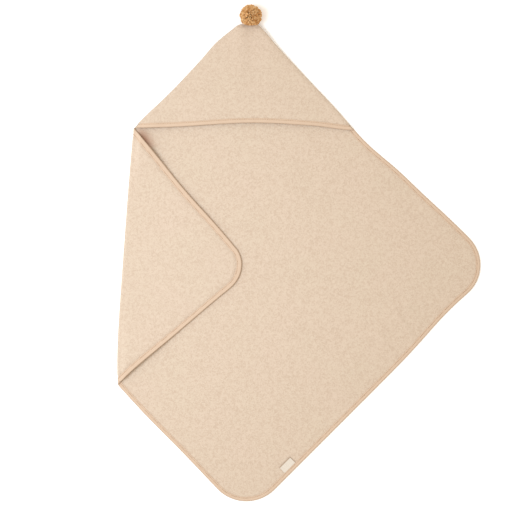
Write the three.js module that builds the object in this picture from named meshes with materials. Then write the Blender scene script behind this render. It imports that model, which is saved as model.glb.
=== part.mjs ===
// A hooded baby bath cape of terry towelling, laid flat, with its left corner folded over onto the front.
//
// Millimetres. +Y points at the hood's tip, +X at the side corner that lies open, and +Z points up.
// The square is worked out flat about its own centre, turned as a diamond, and is then folded. Every
// piece that lies on it is made from the same flat points, so pieces follow the cloth they are sewn to.
// "Height" is the height above the floor that a point has while the cloth is still unfolded.

import * as THREE from "three";

// The cut of the square. The gathers pull its blunt tip a little to the right.
const SIDE = 730;
const HALF_DIAGONAL = SIDE / Math.SQRT2;
const CORNER_RADIUS = 83;
const LEFT_CORNER_RADIUS = 67;
const TIP_CUT = 20;
const TIP_RADIUS = 16;
const TIP_PULL = 6;
const TIP_PULL_REACH = 40;

// The cloth and the bias strip folded round its edges.
const TERRY = 3.0;
const SQUASHED_UNDER = 1.5;
const SQUASHED_OVER = 0.2;
const STRIP_WIDTH = 9;
const STRIP_WALL = 0.9;
const STRIP_THICKNESS = 4.3;
const STRIP_NOSE = 1.5;
const SLOT_DEPTH = 1.0;
const EDGE_IN_STRIP = 2;
const SQUASH_END = STRIP_WIDTH + 1;
const SQUASH_START = 14;
const STRIP_STEPS = { side: 40, corner: 14, bend: 2.4 };
const STRIP_BEND_REACH = 18;
const STRIP_START = 2;
const STRIP_OVERHANG = { left: 1, right: 6 };
const LIP_POINTS = 3;
const PIECE_GAP = 0.3;

// The fold: its line leans a little and bows outwards, and the flap is stretched a little on the bias.
const FOLD_MIDDLE = new THREE.Vector2(-246.7, 20.2);
const FOLD_LEAN = THREE.MathUtils.degToRad(3.5);
const FOLD_RADIUS = 4.6;
const FOLD_HALF_LENGTH = 266;
const FOLD_BOW = 5;
const FOLD_BOW_SQUARENESS = 4;
const FOLD_BOW_SKEW = 0.6;
const FOLD_BOW_REACH = 60;
const FLAP_SHEAR = 0.1;
const FLAP_STRETCH = 1.028;
const FLAP_SETTLE = 1.5;
const FLAP_SETTLE_REACH = 60;
const HALF_BEND = (Math.PI * (FOLD_RADIUS - TERRY / 2)) / 2;

// The hood: its opening arches a little and droops at its right end, it stands off the square at the
// opening, and its tip is drawn up and gathered where the pompom is sewn on.
const HOOD_GAP = 0.8;
const HOOD_LEFT = -219;
const HOOD_RIGHT = 217;
const MOUTH_LEVEL = 283.5;
const MOUTH_ARCH = 11;
const MOUTH_ARCH_AT = 16;
const MOUTH_ARCH_REACH = 138;
const MOUTH_DROOP = 9;
const MOUTH_DROOP_LENGTH = 62;
const MOUTH_STEP = 28;
const MOUTH_END_LEAN = 40;
const HOOD_PUFF = 6.5;
const HOOD_PUFF_REACH = 90;
const HOOD_SEAM_INSET = 0.5;
const TIP_RISE = 9;
const TIP_RISE_REACH = 62;
const GATHER_PITCH = 13;
const GATHER_DEPTH = 1.2;
const GATHER_REACH = new THREE.Vector2(26, 46);

// The pompom and the label.
const POMPOM_RADIUS = 24;
const POMPOM_X = 9;
const POMPOM_FLAT = HALF_DIAGONAL - TIP_CUT + 0.5;
const POMPOM_FLAT_DEPTH = 17;
const POMPOM_LUMP = 0.5;
const POMPOM_LUMP_WAVES = [
  { axis: "x", pitch: 5, shift: 0 },
  { axis: "y", pitch: 6, shift: 1 },
  { axis: "z", pitch: 5, shift: 2 },
];
const POMPOM_DETAIL = 4;
const LABEL_LENGTH = 30;
const LABEL_REACH = 15;
const LABEL_THICKNESS = 0.8;
const LABEL_EDGE_X = 97;
const LABEL_LIFT = 1.6;
const LABEL_SHARES = [0, 0.25, 0.5, 0.75, 1];

// Where the outline is drawn in from the true square, or bulges from it where the depth is below 0:
// place, depth, and how far along it reaches.
const DIPS = [
  { name: "on the hood's right side", x: 153, y: 364, depth: 4, reach: 92 },
  { name: "below the hood's right end", x: 254, y: 262, depth: 11, reach: 82 },
  { name: "above the right corner", x: 356, y: 160, depth: 3.5, reach: 75 },
  { name: "below the right corner", x: 420, y: -97, depth: 6.5, reach: 90 },
  { name: "left of the bottom corner", x: -137, y: -379, depth: 3, reach: 100 },
  { name: "at the fold's lower end", x: -301, y: -215, depth: 7.5, reach: 130 },
  { name: "on the flap's lower side", x: -451, y: -66, depth: 10, reach: 156 },
  { name: "on the flap's upper side", x: -353, y: 163, depth: 5, reach: 93 },
  { name: "on the hood's left side", x: -155, y: 361, depth: 2.5, reach: 66 },
  { name: "left of the gathered tip", x: -60, y: 456, depth: -3, reach: 34 },
  { name: "right of the gathered tip", x: 42, y: 476, depth: -1.5, reach: 20 },
];

// Where the flap stands off the cloth below: distance from the fold, place along it, lift, reach.
const LIFTS = [
  { name: "upper end", across: 30, along: 232, height: 5.2, reach: 76 },
  { name: "lower end", across: 38, along: -222, height: 5, reach: 76 },
];

// The outline is measured at steps this long, and a place on it is found by halving this many times.
const RING_STEP = 4;
const HALVINGS = 40;

// The terry's sections run along the fold: those close to a side corner are given by their distance
// from it, and the counts say how many share each other stretch. Near a corner, where there is no
// room for the gripped band and the ramp beside it, they take these shares of the section's length.
const CORNER_SECTIONS = [0.5, 3.5, 8, 12, 24];
const MIDDLE_CORNERS = 92;
const NEAR_FOLD = 34;
const SECTION_COUNTS = { flap: 6, nearFold: 3, bend: 8, foldToMiddle: 3, middle: 9, middleToRight: 9 };
const GRIPPED_SHARE = 0.12;
const RAMP_SHARE = 0.24;
const TERRY_ROWS = 9;
const TIP_ROWS = [
  { distance: 84, share: 0.36 },
  { distance: 56, share: 0.24 },
  { distance: 28, share: 0.12 },
];
const HOOD_END_SECTIONS = [0, 7, 16, 30];
const HOOD_TIP = 32;
const HOOD_SECTION_COUNTS = { side: 6, tip: 10 };
const HOOD_ROWS = 6;
const HOOD_BANDS = [
  { inset: EDGE_IN_STRIP, share: 0.3 },
  { inset: SQUASH_END, share: 0.5 },
  { inset: SQUASH_START, share: 0.7 },
];

const MATERIALS = {
  terry: { color: "#e8cfb7", roughness: 1.0, metalness: 0 },
  strip: { color: "#ecc8a4", roughness: 0.9, metalness: 0 },
  yarn: { color: "#cc9858", roughness: 1.0, metalness: 0 },
  label: { color: "#f6ecdd", roughness: 0.8, metalness: 0 },
};

const bell = (distance, reach) => Math.exp(-((distance / reach) ** 2));
const ramp = (value, from, to) => THREE.MathUtils.smoothstep(value, from, to);

/** Evenly spaced numbers from one value up to, but without, another. */
function spread(from, to, count) {
  return Array.from({ length: count }, (_, i) => from + ((to - from) * i) / count);
}

// ---- The flat outline ----

/** The finished outline, clockwise from the right end of the hood's blunt tip. */
function makeOutline() {
  const side = HALF_DIAGONAL - CORNER_RADIUS * Math.SQRT2;
  const leftSide = HALF_DIAGONAL - LEFT_CORNER_RADIUS * Math.SQRT2;
  const eighth = Math.PI / 4;
  const tipTangent = TIP_RADIUS * Math.tan(eighth / 2);
  const tip = new THREE.Vector2(TIP_CUT - tipTangent, HALF_DIAGONAL - TIP_CUT - TIP_RADIUS);
  const path = new THREE.Path();
  path.absarc(tip.x, tip.y, TIP_RADIUS, 2 * eighth, eighth, true);
  path.absarc(side, 0, CORNER_RADIUS, eighth, -eighth, true);
  path.absarc(0, -side, CORNER_RADIUS, -eighth, -3 * eighth, true);
  path.absarc(-leftSide, 0, LEFT_CORNER_RADIUS, -3 * eighth, -5 * eighth, true);
  path.absarc(-tip.x, tip.y, TIP_RADIUS, 3 * eighth, 2 * eighth, true);
  path.closePath();
  return path;
}

const outline = makeOutline();
const OUTLINE_LENGTH = outline.getLength();

// Where along the outline its arcs and sides end: tip, right side, right corner, lower right side,
// bottom corner, lower left side, left corner, upper left side.
const ENDS = outline.getCurveLengths();

/** A point a given distance along the outline and a given distance inside it. */
function outlinePoint(length, inset) {
  const share = THREE.MathUtils.euclideanModulo(length / OUTLINE_LENGTH, 1);
  const point = outline.getPointAt(share);
  const tangent = outline.getTangentAt(share);
  const depth = (dip) => dip.depth * bell(Math.hypot(point.x - dip.x, point.y - dip.y), dip.reach);
  const inwards = DIPS.reduce((sum, dip) => sum + depth(dip), inset);
  const fromTip = Math.hypot(point.x, HALF_DIAGONAL - TIP_CUT - point.y);
  const pulled = point.x + TIP_PULL * bell(fromTip, TIP_PULL_REACH);
  return new THREE.Vector2(pulled + tangent.y * inwards, point.y - tangent.x * inwards);
}

/** The whole outline as a ring of points, a given distance inside. */
function ring(inset) {
  const count = Math.round(OUTLINE_LENGTH / RING_STEP);
  return spread(0, OUTLINE_LENGTH, count).map((length) => outlinePoint(length, inset));
}

/** Lowest and highest place where a ring crosses the line "first coordinate = at", or null. */
function crossing(points, at) {
  const hits = [];
  points.forEach((a, i) => {
    const b = points[(i + 1) % points.length];
    if (a.x < at !== b.x < at) {
      hits.push(a.y + ((b.y - a.y) * (at - a.x)) / (b.x - a.x));
    }
  });
  return hits.length ? [Math.min(...hits), Math.max(...hits)] : null;
}

/** Distance along the outline, between two lengths, where a measure of the point passes zero. */
function findLength(from, to, measure) {
  let [low, high] = [from, to];
  const sign = Math.sign(measure(outlinePoint(low, 0)));
  for (let i = 0; i < HALVINGS; i += 1) {
    const middle = (low + high) / 2;
    if (Math.sign(measure(outlinePoint(middle, 0))) === sign) {
      low = middle;
    } else {
      high = middle;
    }
  }
  return low;
}

// ---- The fold ----

/** Turns a flat point to (distance right of the fold line, distance along it). */
function toFold(point) {
  return point.clone().sub(FOLD_MIDDLE).rotateAround(new THREE.Vector2(), FOLD_LEAN);
}

/** The inverse of toFold. */
function fromFold(across, along) {
  return new THREE.Vector2(across, along).rotateAround(new THREE.Vector2(), -FOLD_LEAN).add(FOLD_MIDDLE);
}

/** How far the fold's edge bows outwards at a place along it. */
function foldBow(along) {
  const share = THREE.MathUtils.clamp(along / FOLD_HALF_LENGTH, -1, 1);
  return FOLD_BOW * (1 - Math.abs(share) ** FOLD_BOW_SQUARENESS) * (1 - FOLD_BOW_SKEW * share);
}

/** How far the flap stands above or settles below the height it has at the fold. */
function flapSettle(reach, along) {
  const share = ramp(reach, 0, FLAP_SETTLE_REACH);
  const lift = (row) => row.height * bell(Math.hypot(reach - row.across, along - row.along), row.reach);
  const lifts = LIFTS.reduce((sum, row) => sum + lift(row), 0);
  return (lifts - FLAP_SETTLE) * share;
}

/** How far the cloth is drawn up near the hood's tip. */
function tipRise(x, y) {
  return TIP_RISE * bell(Math.hypot(x - POMPOM_X, y - POMPOM_FLAT), TIP_RISE_REACH);
}

/** Places a flat point of the square (given in fold coordinates) with its height, after folding. */
function place(u, s, height) {
  let across = FOLD_RADIUS + u - HALF_BEND;
  let along = s;
  let z = height;
  if (u < -HALF_BEND) {
    const reach = -u - HALF_BEND;
    across = FOLD_RADIUS + FLAP_STRETCH * reach;
    along = s + FLAP_SHEAR * reach;
    z = 2 * FOLD_RADIUS - height + flapSettle(reach, along);
  } else if (u < HALF_BEND) {
    const turn = (Math.PI * (HALF_BEND - u)) / (2 * HALF_BEND);
    across = FOLD_RADIUS - (FOLD_RADIUS - height) * Math.sin(turn);
    z = FOLD_RADIUS - (FOLD_RADIUS - height) * Math.cos(turn);
  }
  across -= foldBow(along) * bell(across, FOLD_BOW_REACH);
  const flat = fromFold(across, along);
  return new THREE.Vector3(flat.x, flat.y, z + tipRise(flat.x, flat.y));
}

// Where the outline crosses the fold line, below and above.
const FOLD_LOW = findLength(ENDS[4], ENDS[5], (point) => toFold(point).x);
const FOLD_HIGH = findLength(ENDS[6], ENDS[7], (point) => toFold(point).x);

// ---- Making closed walls ----

/**
 * A closed wall from a grid of cells. Each cell holds its upper and lower point, and the distance
 * across the fold by which the shorter diagonal of each square is chosen.
 */
function wall(grid) {
  const rows = grid[0].length;
  const positions = [];
  grid.flat().forEach(({ upper, lower }) => positions.push(...upper.toArray(), ...lower.toArray()));
  const top = (i, j) => 2 * (i * rows + j);
  const under = (i, j) => top(i, j) + 1;
  const index = [];
  const quad = (a, b, c, d) => index.push(a, b, c, a, c, d);
  for (let i = 0; i < grid.length - 1; i += 1) {
    for (let j = 0; j < rows - 1; j += 1) {
      const corners = [[i, j], [i + 1, j], [i + 1, j + 1], [i, j + 1]];
      const across = corners.map(([a, b]) => grid[a][b].across);
      const turned = Math.abs(across[3] - across[1]) < Math.abs(across[2] - across[0]);
      const order = turned ? [1, 2, 3, 0] : [0, 1, 2, 3];
      quad(...order.map((k) => top(...corners[k])));
      const [first, second, third, fourth] = order;
      quad(...[first, fourth, third, second].map((k) => under(...corners[k])));
    }
  }
  const edge = (a, b) => quad(top(...b), top(...a), under(...a), under(...b));
  for (let i = 0; i < grid.length - 1; i += 1) {
    edge([i, 0], [i + 1, 0]);
    edge([i + 1, rows - 1], [i, rows - 1]);
  }
  for (let j = 0; j < rows - 1; j += 1) {
    edge([grid.length - 1, j], [grid.length - 1, j + 1]);
    edge([0, j + 1], [0, j]);
  }
  const geometry = new THREE.BufferGeometry();
  geometry.setAttribute("position", new THREE.Float32BufferAttribute(positions, 3));
  geometry.setIndex(index);
  geometry.computeVertexNormals();
  return geometry;
}

/** One named sub-part with its own material. */
function makeMesh(name, geometry, finish) {
  const mesh = new THREE.Mesh(geometry, new THREE.MeshStandardMaterial(MATERIALS[finish]));
  mesh.name = name;
  return mesh;
}

/** Lower and upper height of the terry, squashed where the bias strip grips it. */
function terryHeights(distanceFromEdge) {
  const share = 1 - THREE.MathUtils.clamp(
    (distanceFromEdge - SQUASH_END) / (SQUASH_START - SQUASH_END), 0, 1);
  return { lower: SQUASHED_UNDER * share, upper: TERRY - SQUASHED_OVER * share };
}

// ---- The square of terry: bottom layer, round fold and flap in one ----

/** Where the terry's sections stand, in distance across the fold, from the flap's tip rightwards. */
function sectionPlaces(edgeRing) {
  const us = edgeRing.map((point) => point.x);
  const [first, last] = [Math.min(...us), Math.max(...us)];
  const middle = toFold(new THREE.Vector2(0, 0)).x;
  const nearCorner = CORNER_SECTIONS.at(-1);
  const count = SECTION_COUNTS;
  return [
    ...CORNER_SECTIONS.slice(0, -1).map((inset) => first + inset),
    ...spread(first + nearCorner, -HALF_BEND - NEAR_FOLD, count.flap),
    ...spread(-HALF_BEND - NEAR_FOLD, -HALF_BEND, count.nearFold),
    ...spread(-HALF_BEND, HALF_BEND, count.bend),
    ...spread(HALF_BEND, middle - MIDDLE_CORNERS, count.foldToMiddle),
    ...spread(middle - MIDDLE_CORNERS, middle + MIDDLE_CORNERS, count.middle),
    ...spread(middle + MIDDLE_CORNERS, last - nearCorner, count.middleToRight),
    ...CORNER_SECTIONS.toReversed().map((inset) => last - inset),
  ];
}

/** Places along one section: both edges and squashed bands, even rows, and closer ones by the tip. */
function rowPlaces(rings, at) {
  const [edge, gripped, full] = rings.map((points) => crossing(points, at));
  const length = edge[1] - edge[0];
  const gripLow = gripped ? gripped[0] : edge[0] + GRIPPED_SHARE * length;
  const gripHigh = gripped ? gripped[1] : edge[1] - GRIPPED_SHARE * length;
  const fullLow = full ? full[0] : THREE.MathUtils.lerp(gripLow, gripHigh, RAMP_SHARE);
  const fullHigh = full ? full[1] : THREE.MathUtils.lerp(gripHigh, gripLow, RAMP_SHARE);
  const nearTip = TIP_ROWS.map((row) => fullHigh - Math.min(row.distance, row.share * (fullHigh - fullLow)));
  const even = spread(fullLow, nearTip[0], TERRY_ROWS);
  return [edge[0], gripLow, ...even, ...nearTip, fullHigh, gripHigh, edge[1]];
}

/** Distance from a point to the nearest side of a ring. */
function distanceToRing(points, point) {
  const side = new THREE.Line3();
  const nearest = new THREE.Vector3();
  const target = new THREE.Vector3(point.x, point.y, 0);
  return points.reduce((least, a, i) => {
    const b = points[(i + 1) % points.length];
    side.start.set(a.x, a.y, 0);
    side.end.set(b.x, b.y, 0);
    side.closestPointToPoint(target, true, nearest);
    return Math.min(least, nearest.distanceTo(target));
  }, Infinity);
}

function makeMainPanel() {
  const finished = ring(0).map(toFold);
  const rings = [EDGE_IN_STRIP, SQUASH_END, SQUASH_START].map((inset) => ring(inset).map(toFold));
  const grid = sectionPlaces(rings[0]).map((u) => rowPlaces(rings, u).map((s) => {
    const heights = terryHeights(distanceToRing(finished, new THREE.Vector2(u, s)));
    return { across: u, upper: place(u, s, heights.upper), lower: place(u, s, heights.lower) };
  }));
  return makeMesh("main_panel", wall(grid), "terry");
}

// ---- The hood ----

/** Height of the hood's opening along Y at a place across it. */
function mouthLine(x) {
  const droop = MOUTH_DROOP * ramp(x, HOOD_RIGHT - MOUTH_DROOP_LENGTH, HOOD_RIGHT);
  return MOUTH_LEVEL + MOUTH_ARCH * bell(x - MOUTH_ARCH_AT, MOUTH_ARCH_REACH) - droop;
}

const finishedRing = ring(0);

/** Places a point of the hood, with its height above the hood's own underside. */
function placeOnHood(x, y, height) {
  const fromSeam = distanceToRing(finishedRing, new THREE.Vector2(x, y));
  const puff = HOOD_PUFF * ramp(fromSeam, 0, HOOD_PUFF_REACH) * bell(y - mouthLine(x), HOOD_PUFF_REACH);
  const fromTip = new THREE.Vector2(x - POMPOM_X, y - POMPOM_FLAT);
  const wave = (1 + Math.cos((2 * Math.PI * fromTip.x) / GATHER_PITCH)) / 2;
  const gather = GATHER_DEPTH * wave * bell(fromTip.x, GATHER_REACH.x) * bell(fromTip.y, GATHER_REACH.y);
  return new THREE.Vector3(x, y, TERRY + HOOD_GAP + height + puff + gather + tipRise(x, y));
}

/** Where the hood's sections stand: closer together at its ends and at its gathered tip. */
function hoodSections() {
  const [tipLeft, tipRight] = [POMPOM_X - HOOD_TIP, POMPOM_X + HOOD_TIP];
  const nearEnd = HOOD_END_SECTIONS.at(-1);
  const count = HOOD_SECTION_COUNTS;
  return [
    ...HOOD_END_SECTIONS.slice(0, -1).map((inset) => HOOD_LEFT + inset),
    ...spread(HOOD_LEFT + nearEnd, tipLeft, count.side),
    ...spread(tipLeft, tipRight, count.tip),
    ...spread(tipRight, HOOD_RIGHT - nearEnd, count.side),
    ...HOOD_END_SECTIONS.toReversed().map((inset) => HOOD_RIGHT - inset),
  ];
}

function makeHoodPanel() {
  const seam = ring(HOOD_SEAM_INSET);
  const grid = hoodSections().map((x) => {
    const mouth = mouthLine(x);
    const top = crossing(seam, x)[1];
    const room = top - mouth;
    const [edge, gripped, full] = HOOD_BANDS.map((band) => mouth + Math.min(band.inset, band.share * room));
    return [edge, gripped, ...spread(full, top, HOOD_ROWS), top].map((y) => {
      const heights = terryHeights(y - mouth);
      return {
        across: x,
        upper: placeOnHood(x, y, heights.upper),
        lower: placeOnHood(x, y, heights.lower),
      };
    });
  });
  return makeMesh("hood_panel", wall(grid), "terry");
}

// ---- The bias strip ----

/** The strip's own section, lower lip to upper lip: distance in from the edge, and height. */
function stripSection() {
  const lipPlaces = [...spread(STRIP_WIDTH, STRIP_NOSE, LIP_POINTS), STRIP_NOSE];
  const lip = (outer, inner) => lipPlaces.map((inset) => ({ outer: [inset, outer], inner: [inset, inner] }));
  const nose = [SQUASHED_UNDER, TERRY - SQUASHED_OVER]
    .map((height) => ({ outer: [0, height], inner: [SLOT_DEPTH, height] }));
  const upperLip = lip(STRIP_THICKNESS, STRIP_THICKNESS - STRIP_WALL).toReversed();
  return [...lip(0, STRIP_WALL), ...nose, ...upperLip];
}

/** A stretch of the strip, swept through stations by a function that places (inset, height). */
function sweepStrip(stations, locate) {
  const section = stripSection();
  return wall(stations.map((station) => section.map(({ outer, inner }) => {
    const outside = locate(station, ...outer);
    const inside = locate(station, ...inner);
    return { across: outside.across, upper: inside.point, lower: outside.point };
  })));
}

/** Places a point of the strip that runs round the square. */
function locateOnEdge(length, inset, height) {
  const flat = toFold(outlinePoint(length, inset));
  return { across: flat.x, point: place(flat.x, flat.y, height) };
}

/** Stations along the outline: closer together round the corners, closest through the bends. */
function stationsBetween(from, to) {
  const zones = [
    ...[1, 3, 5].map((k) => ({ start: ENDS[k], end: ENDS[k + 1], step: STRIP_STEPS.corner })),
    ...[FOLD_LOW, FOLD_HIGH].map((at) => (
      { start: at - STRIP_BEND_REACH, end: at + STRIP_BEND_REACH, step: STRIP_STEPS.bend })),
  ];
  const marks = [from, to, ...zones.flatMap(({ start, end }) => [start, end])]
    .filter((mark) => mark >= from && mark <= to)
    .sort((a, b) => a - b);
  const stations = marks.slice(0, -1).flatMap((mark, i) => {
    const middle = (mark + marks[i + 1]) / 2;
    const inside = zones.filter(({ start, end }) => middle > start && middle < end);
    const step = Math.min(STRIP_STEPS.side, ...inside.map((zone) => zone.step));
    return spread(mark, marks[i + 1], Math.ceil((marks[i + 1] - mark) / step));
  });
  return [...stations, to];
}

function makeEdgeStrips() {
  const start = findLength(ENDS[0], ENDS[1], (point) => point.y - mouthLine(point.x)) + STRIP_START;
  const pastBend = HALF_BEND + 1;
  const split = findLength(ENDS[4], ENDS[5], (point) => toFold(point).x + pastBend);
  const end = findLength(ENDS[6], ENDS[7], (point) => toFold(point).x - HALF_BEND);
  const strips = {
    binding_edge: [start, split - PIECE_GAP],
    binding_flap: [split + PIECE_GAP, end],
  };
  return Object.entries(strips).map(([name, reach]) => (
    makeMesh(name, sweepStrip(stationsBetween(...reach), locateOnEdge), "strip")));
}

/** Places a point of the strip on the hood's opening; its ends lean to follow the side seams. */
function locateOnMouth(along, inset, height) {
  const lean = ramp(along, HOOD_RIGHT - MOUTH_END_LEAN, HOOD_RIGHT)
    - ramp(-along, -HOOD_LEFT - MOUTH_END_LEAN, -HOOD_LEFT);
  const x = along - lean * inset;
  return { across: x, point: placeOnHood(x, mouthLine(x) + inset, height) };
}

function makeHoodStrip() {
  const [left, right] = [HOOD_LEFT - STRIP_OVERHANG.left, HOOD_RIGHT + STRIP_OVERHANG.right];
  const count = Math.ceil((right - left) / MOUTH_STEP);
  return makeMesh("binding_hood", sweepStrip([...spread(right, left, count), left], locateOnMouth), "strip");
}

// ---- The pompom and the label ----

function makePompom() {
  const ball = new THREE.IcosahedronGeometry(POMPOM_RADIUS, POMPOM_DETAIL);
  const centre = new THREE.Vector3(POMPOM_X, POMPOM_FLAT + POMPOM_FLAT_DEPTH, POMPOM_RADIUS);
  const points = ball.getAttribute("position");
  const point = new THREE.Vector3();
  for (let i = 0; i < points.count; i += 1) {
    point.fromBufferAttribute(points, i);
    const wave = ({ axis, pitch, shift }) => Math.sin(point[axis] / pitch + shift);
    const lump = POMPOM_LUMP_WAVES.reduce((product, row) => product * wave(row), 1);
    point.setLength(POMPOM_RADIUS - POMPOM_LUMP * (1 + lump) / 2).add(centre);
    points.setXYZ(i, point.x, Math.max(point.y, POMPOM_FLAT), point.z);
  }
  return makeMesh("pompom", ball, "yarn");
}

function makeLabel() {
  const middle = findLength(ENDS[2], ENDS[3], (point) => point.x - LABEL_EDGE_X);
  const grid = LABEL_SHARES.map((along) => LABEL_SHARES.map((share) => {
    const length = LABEL_LENGTH * (0.5 - along);
    const inset = STRIP_WIDTH + PIECE_GAP + share * LABEL_REACH;
    const flat = toFold(outlinePoint(middle + length, inset));
    const under = TERRY + PIECE_GAP + LABEL_LIFT * share ** 2;
    return {
      across: flat.x,
      upper: place(flat.x, flat.y, under + LABEL_THICKNESS),
      lower: place(flat.x, flat.y, under),
    };
  }));
  return makeMesh("label", wall(grid), "label");
}

// ---- The cape, centred over its own outline ----

const cape = new THREE.Group();
cape.add(makeMainPanel(), makeHoodPanel(), makeHoodStrip(), ...makeEdgeStrips(), makePompom(), makeLabel());
const bounds = new THREE.Box3().setFromObject(cape);
const middle = bounds.getCenter(new THREE.Vector3());
cape.position.set(-middle.x, -middle.y, -bounds.min.z);

export default cape;
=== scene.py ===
"""A hooded baby bath cape of terry towelling, laid flat with its left corner folded over the front.

Sizes are in metres. The square is worked out flat about its own centre, turned as a diamond, is
folded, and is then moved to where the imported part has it. Each piece is laid on the same flat
points as the cloth that it is sewn to, so that it follows that cloth over folds and ripples.
"""

from __future__ import annotations

import logging
import math
from dataclasses import dataclass, field
from enum import Enum
from typing import Callable, Mapping, Sequence

import bpy
import numpy as np
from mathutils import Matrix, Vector, geometry, kdtree

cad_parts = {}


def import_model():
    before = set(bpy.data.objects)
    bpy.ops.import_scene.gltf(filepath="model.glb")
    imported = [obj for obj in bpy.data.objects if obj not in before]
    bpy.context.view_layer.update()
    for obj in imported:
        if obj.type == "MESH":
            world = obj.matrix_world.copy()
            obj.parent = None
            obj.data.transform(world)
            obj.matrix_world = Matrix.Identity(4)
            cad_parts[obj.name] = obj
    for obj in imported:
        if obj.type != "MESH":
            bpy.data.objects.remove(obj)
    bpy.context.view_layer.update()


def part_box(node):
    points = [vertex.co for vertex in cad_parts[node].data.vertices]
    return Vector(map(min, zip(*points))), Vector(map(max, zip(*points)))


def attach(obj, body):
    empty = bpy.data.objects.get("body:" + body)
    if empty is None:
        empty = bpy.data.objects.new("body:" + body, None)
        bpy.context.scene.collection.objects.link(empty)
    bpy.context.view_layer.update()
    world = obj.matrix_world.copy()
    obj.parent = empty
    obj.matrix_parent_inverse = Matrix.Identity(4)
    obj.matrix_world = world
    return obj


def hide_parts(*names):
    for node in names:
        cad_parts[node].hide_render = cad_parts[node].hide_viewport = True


LOG = logging.getLogger("bath_cape")
MM = 0.001
SAME_POINT = 1e-7
Array = np.ndarray
Colour = tuple[float, float, float, float]
Socket = bpy.types.NodeSocket


def linear(code: str) -> Colour:
    """Turns an sRGB hex colour to linear red, green, blue and alpha.

    Args:
        code: the colour, such as "#e8cfb7".

    Returns:
        Its linear values, with alpha 1.
    """
    parts = [int(code[i : i + 2], 16) / 255 for i in (1, 3, 5)]
    red, green, blue = (p / 12.92 if p <= 0.04045 else ((p + 0.055) / 1.055) ** 2.4 for p in parts)
    return red, green, blue, 1.0


def bell(distance: Array, reach: float) -> Array:
    """A soft hump, 1 at no distance and near 0 at twice its reach."""
    return np.exp(-((distance / reach) ** 2))


def ramp(value: Array, start: float, stop: float) -> Array:
    """Rises smoothly from 0 at start to 1 at stop."""
    share = np.clip((value - start) / (stop - start), 0.0, 1.0)
    return share * share * (3 - 2 * share)


def add_node(
    tree: bpy.types.NodeTree,
    kind: str,
    settings: Mapping[str, object] | None = None,
    inputs: Mapping[str | int, object] | None = None,
) -> bpy.types.Node:
    """Adds a node to a tree with its settings and links.

    Args:
        tree: the shader or geometry tree that takes the node.
        kind: the node's type.
        settings: the node's own properties.
        inputs: by socket name or number, a value, or an output socket to link from.

    Returns:
        The new node.
    """
    made = tree.nodes.new(kind)
    for name, value in (settings or {}).items():
        setattr(made, name, value)
    for key, value in (inputs or {}).items():
        if isinstance(value, Socket):
            tree.links.new(value, made.inputs[key])
        else:
            made.inputs[key].default_value = value
    return made


class Stretch(Enum):
    """The stretches of the outline, clockwise from the hood's blunt tip."""

    TIP_RIGHT = 0
    UPPER_RIGHT = 1
    RIGHT_CORNER = 2
    LOWER_RIGHT = 3
    BOTTOM_CORNER = 4
    LOWER_LEFT = 5
    LEFT_CORNER = 6
    UPPER_LEFT = 7
    TIP_LEFT = 8


class Face(Enum):
    """The two faces of the square: the one the hood is sewn to, and the other."""

    FRONT = 1
    BACK = -1


# ---- The cape's form ----


@dataclass(frozen=True)
class Spot:
    """A round soft-edged place, raised or sunken, with its height or depth and its reach."""

    x: float
    y: float
    height: float
    reach: float

    def at(self, x: Array, y: Array) -> Array:
        """The height that it gives at flat points."""
        return self.height * bell(np.hypot(x - self.x, y - self.y), self.reach)


@dataclass(frozen=True)
class Crease:
    """A soft ridge on the flat cloth, from one end to the other, that dies out at both."""

    start: tuple[float, float]
    stop: tuple[float, float]
    height: float
    width: float
    fullness: float = 0.8

    def at(self, x: Array, y: Array) -> Array:
        """Works out the heights that it gives at flat points.

        Args:
            x: places across the flat cloth.
            y: places along it, towards the hood's tip.

        Returns:
            The heights.
        """
        run = np.subtract(self.stop, self.start)
        length = float(np.hypot(*run))
        ux, uy = run / length
        along = (x - self.start[0]) * ux + (y - self.start[1]) * uy
        across = (y - self.start[1]) * ux - (x - self.start[0]) * uy
        ends = np.sin(math.pi * np.clip(along / length, 0, 1)) ** self.fullness
        return self.height * bell(across, self.width) * ends


@dataclass(frozen=True)
class Ripple:
    """Smooth uneven heights from -1 to 1, the same each time for the same seed."""

    pitch: float
    seed: int
    cells: int = 256

    def at(self, x: Array, y: Array) -> Array:
        """Works out its heights at flat points.

        Args:
            x: places across the flat cloth.
            y: places along it, towards the hood's tip.

        Returns:
            The heights, from -1 to 1.
        """
        lattice = np.random.default_rng(self.seed).uniform(-1, 1, (self.cells, self.cells))
        gx, gy = x / self.pitch, y / self.pitch
        ix, iy = np.floor(gx).astype(int), np.floor(gy).astype(int)
        wx, wy = ramp(gx - ix, 0, 1), ramp(gy - iy, 0, 1)

        def pick(dx: int, dy: int) -> Array:
            """The lattice's values at one corner of each point's cell."""
            return lattice[(ix + dx) % self.cells, (iy + dy) % self.cells]

        low = pick(0, 0) * (1 - wx) + pick(1, 0) * wx
        high = pick(0, 1) * (1 - wx) + pick(1, 1) * wx
        return low * (1 - wy) + high * wy


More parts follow.
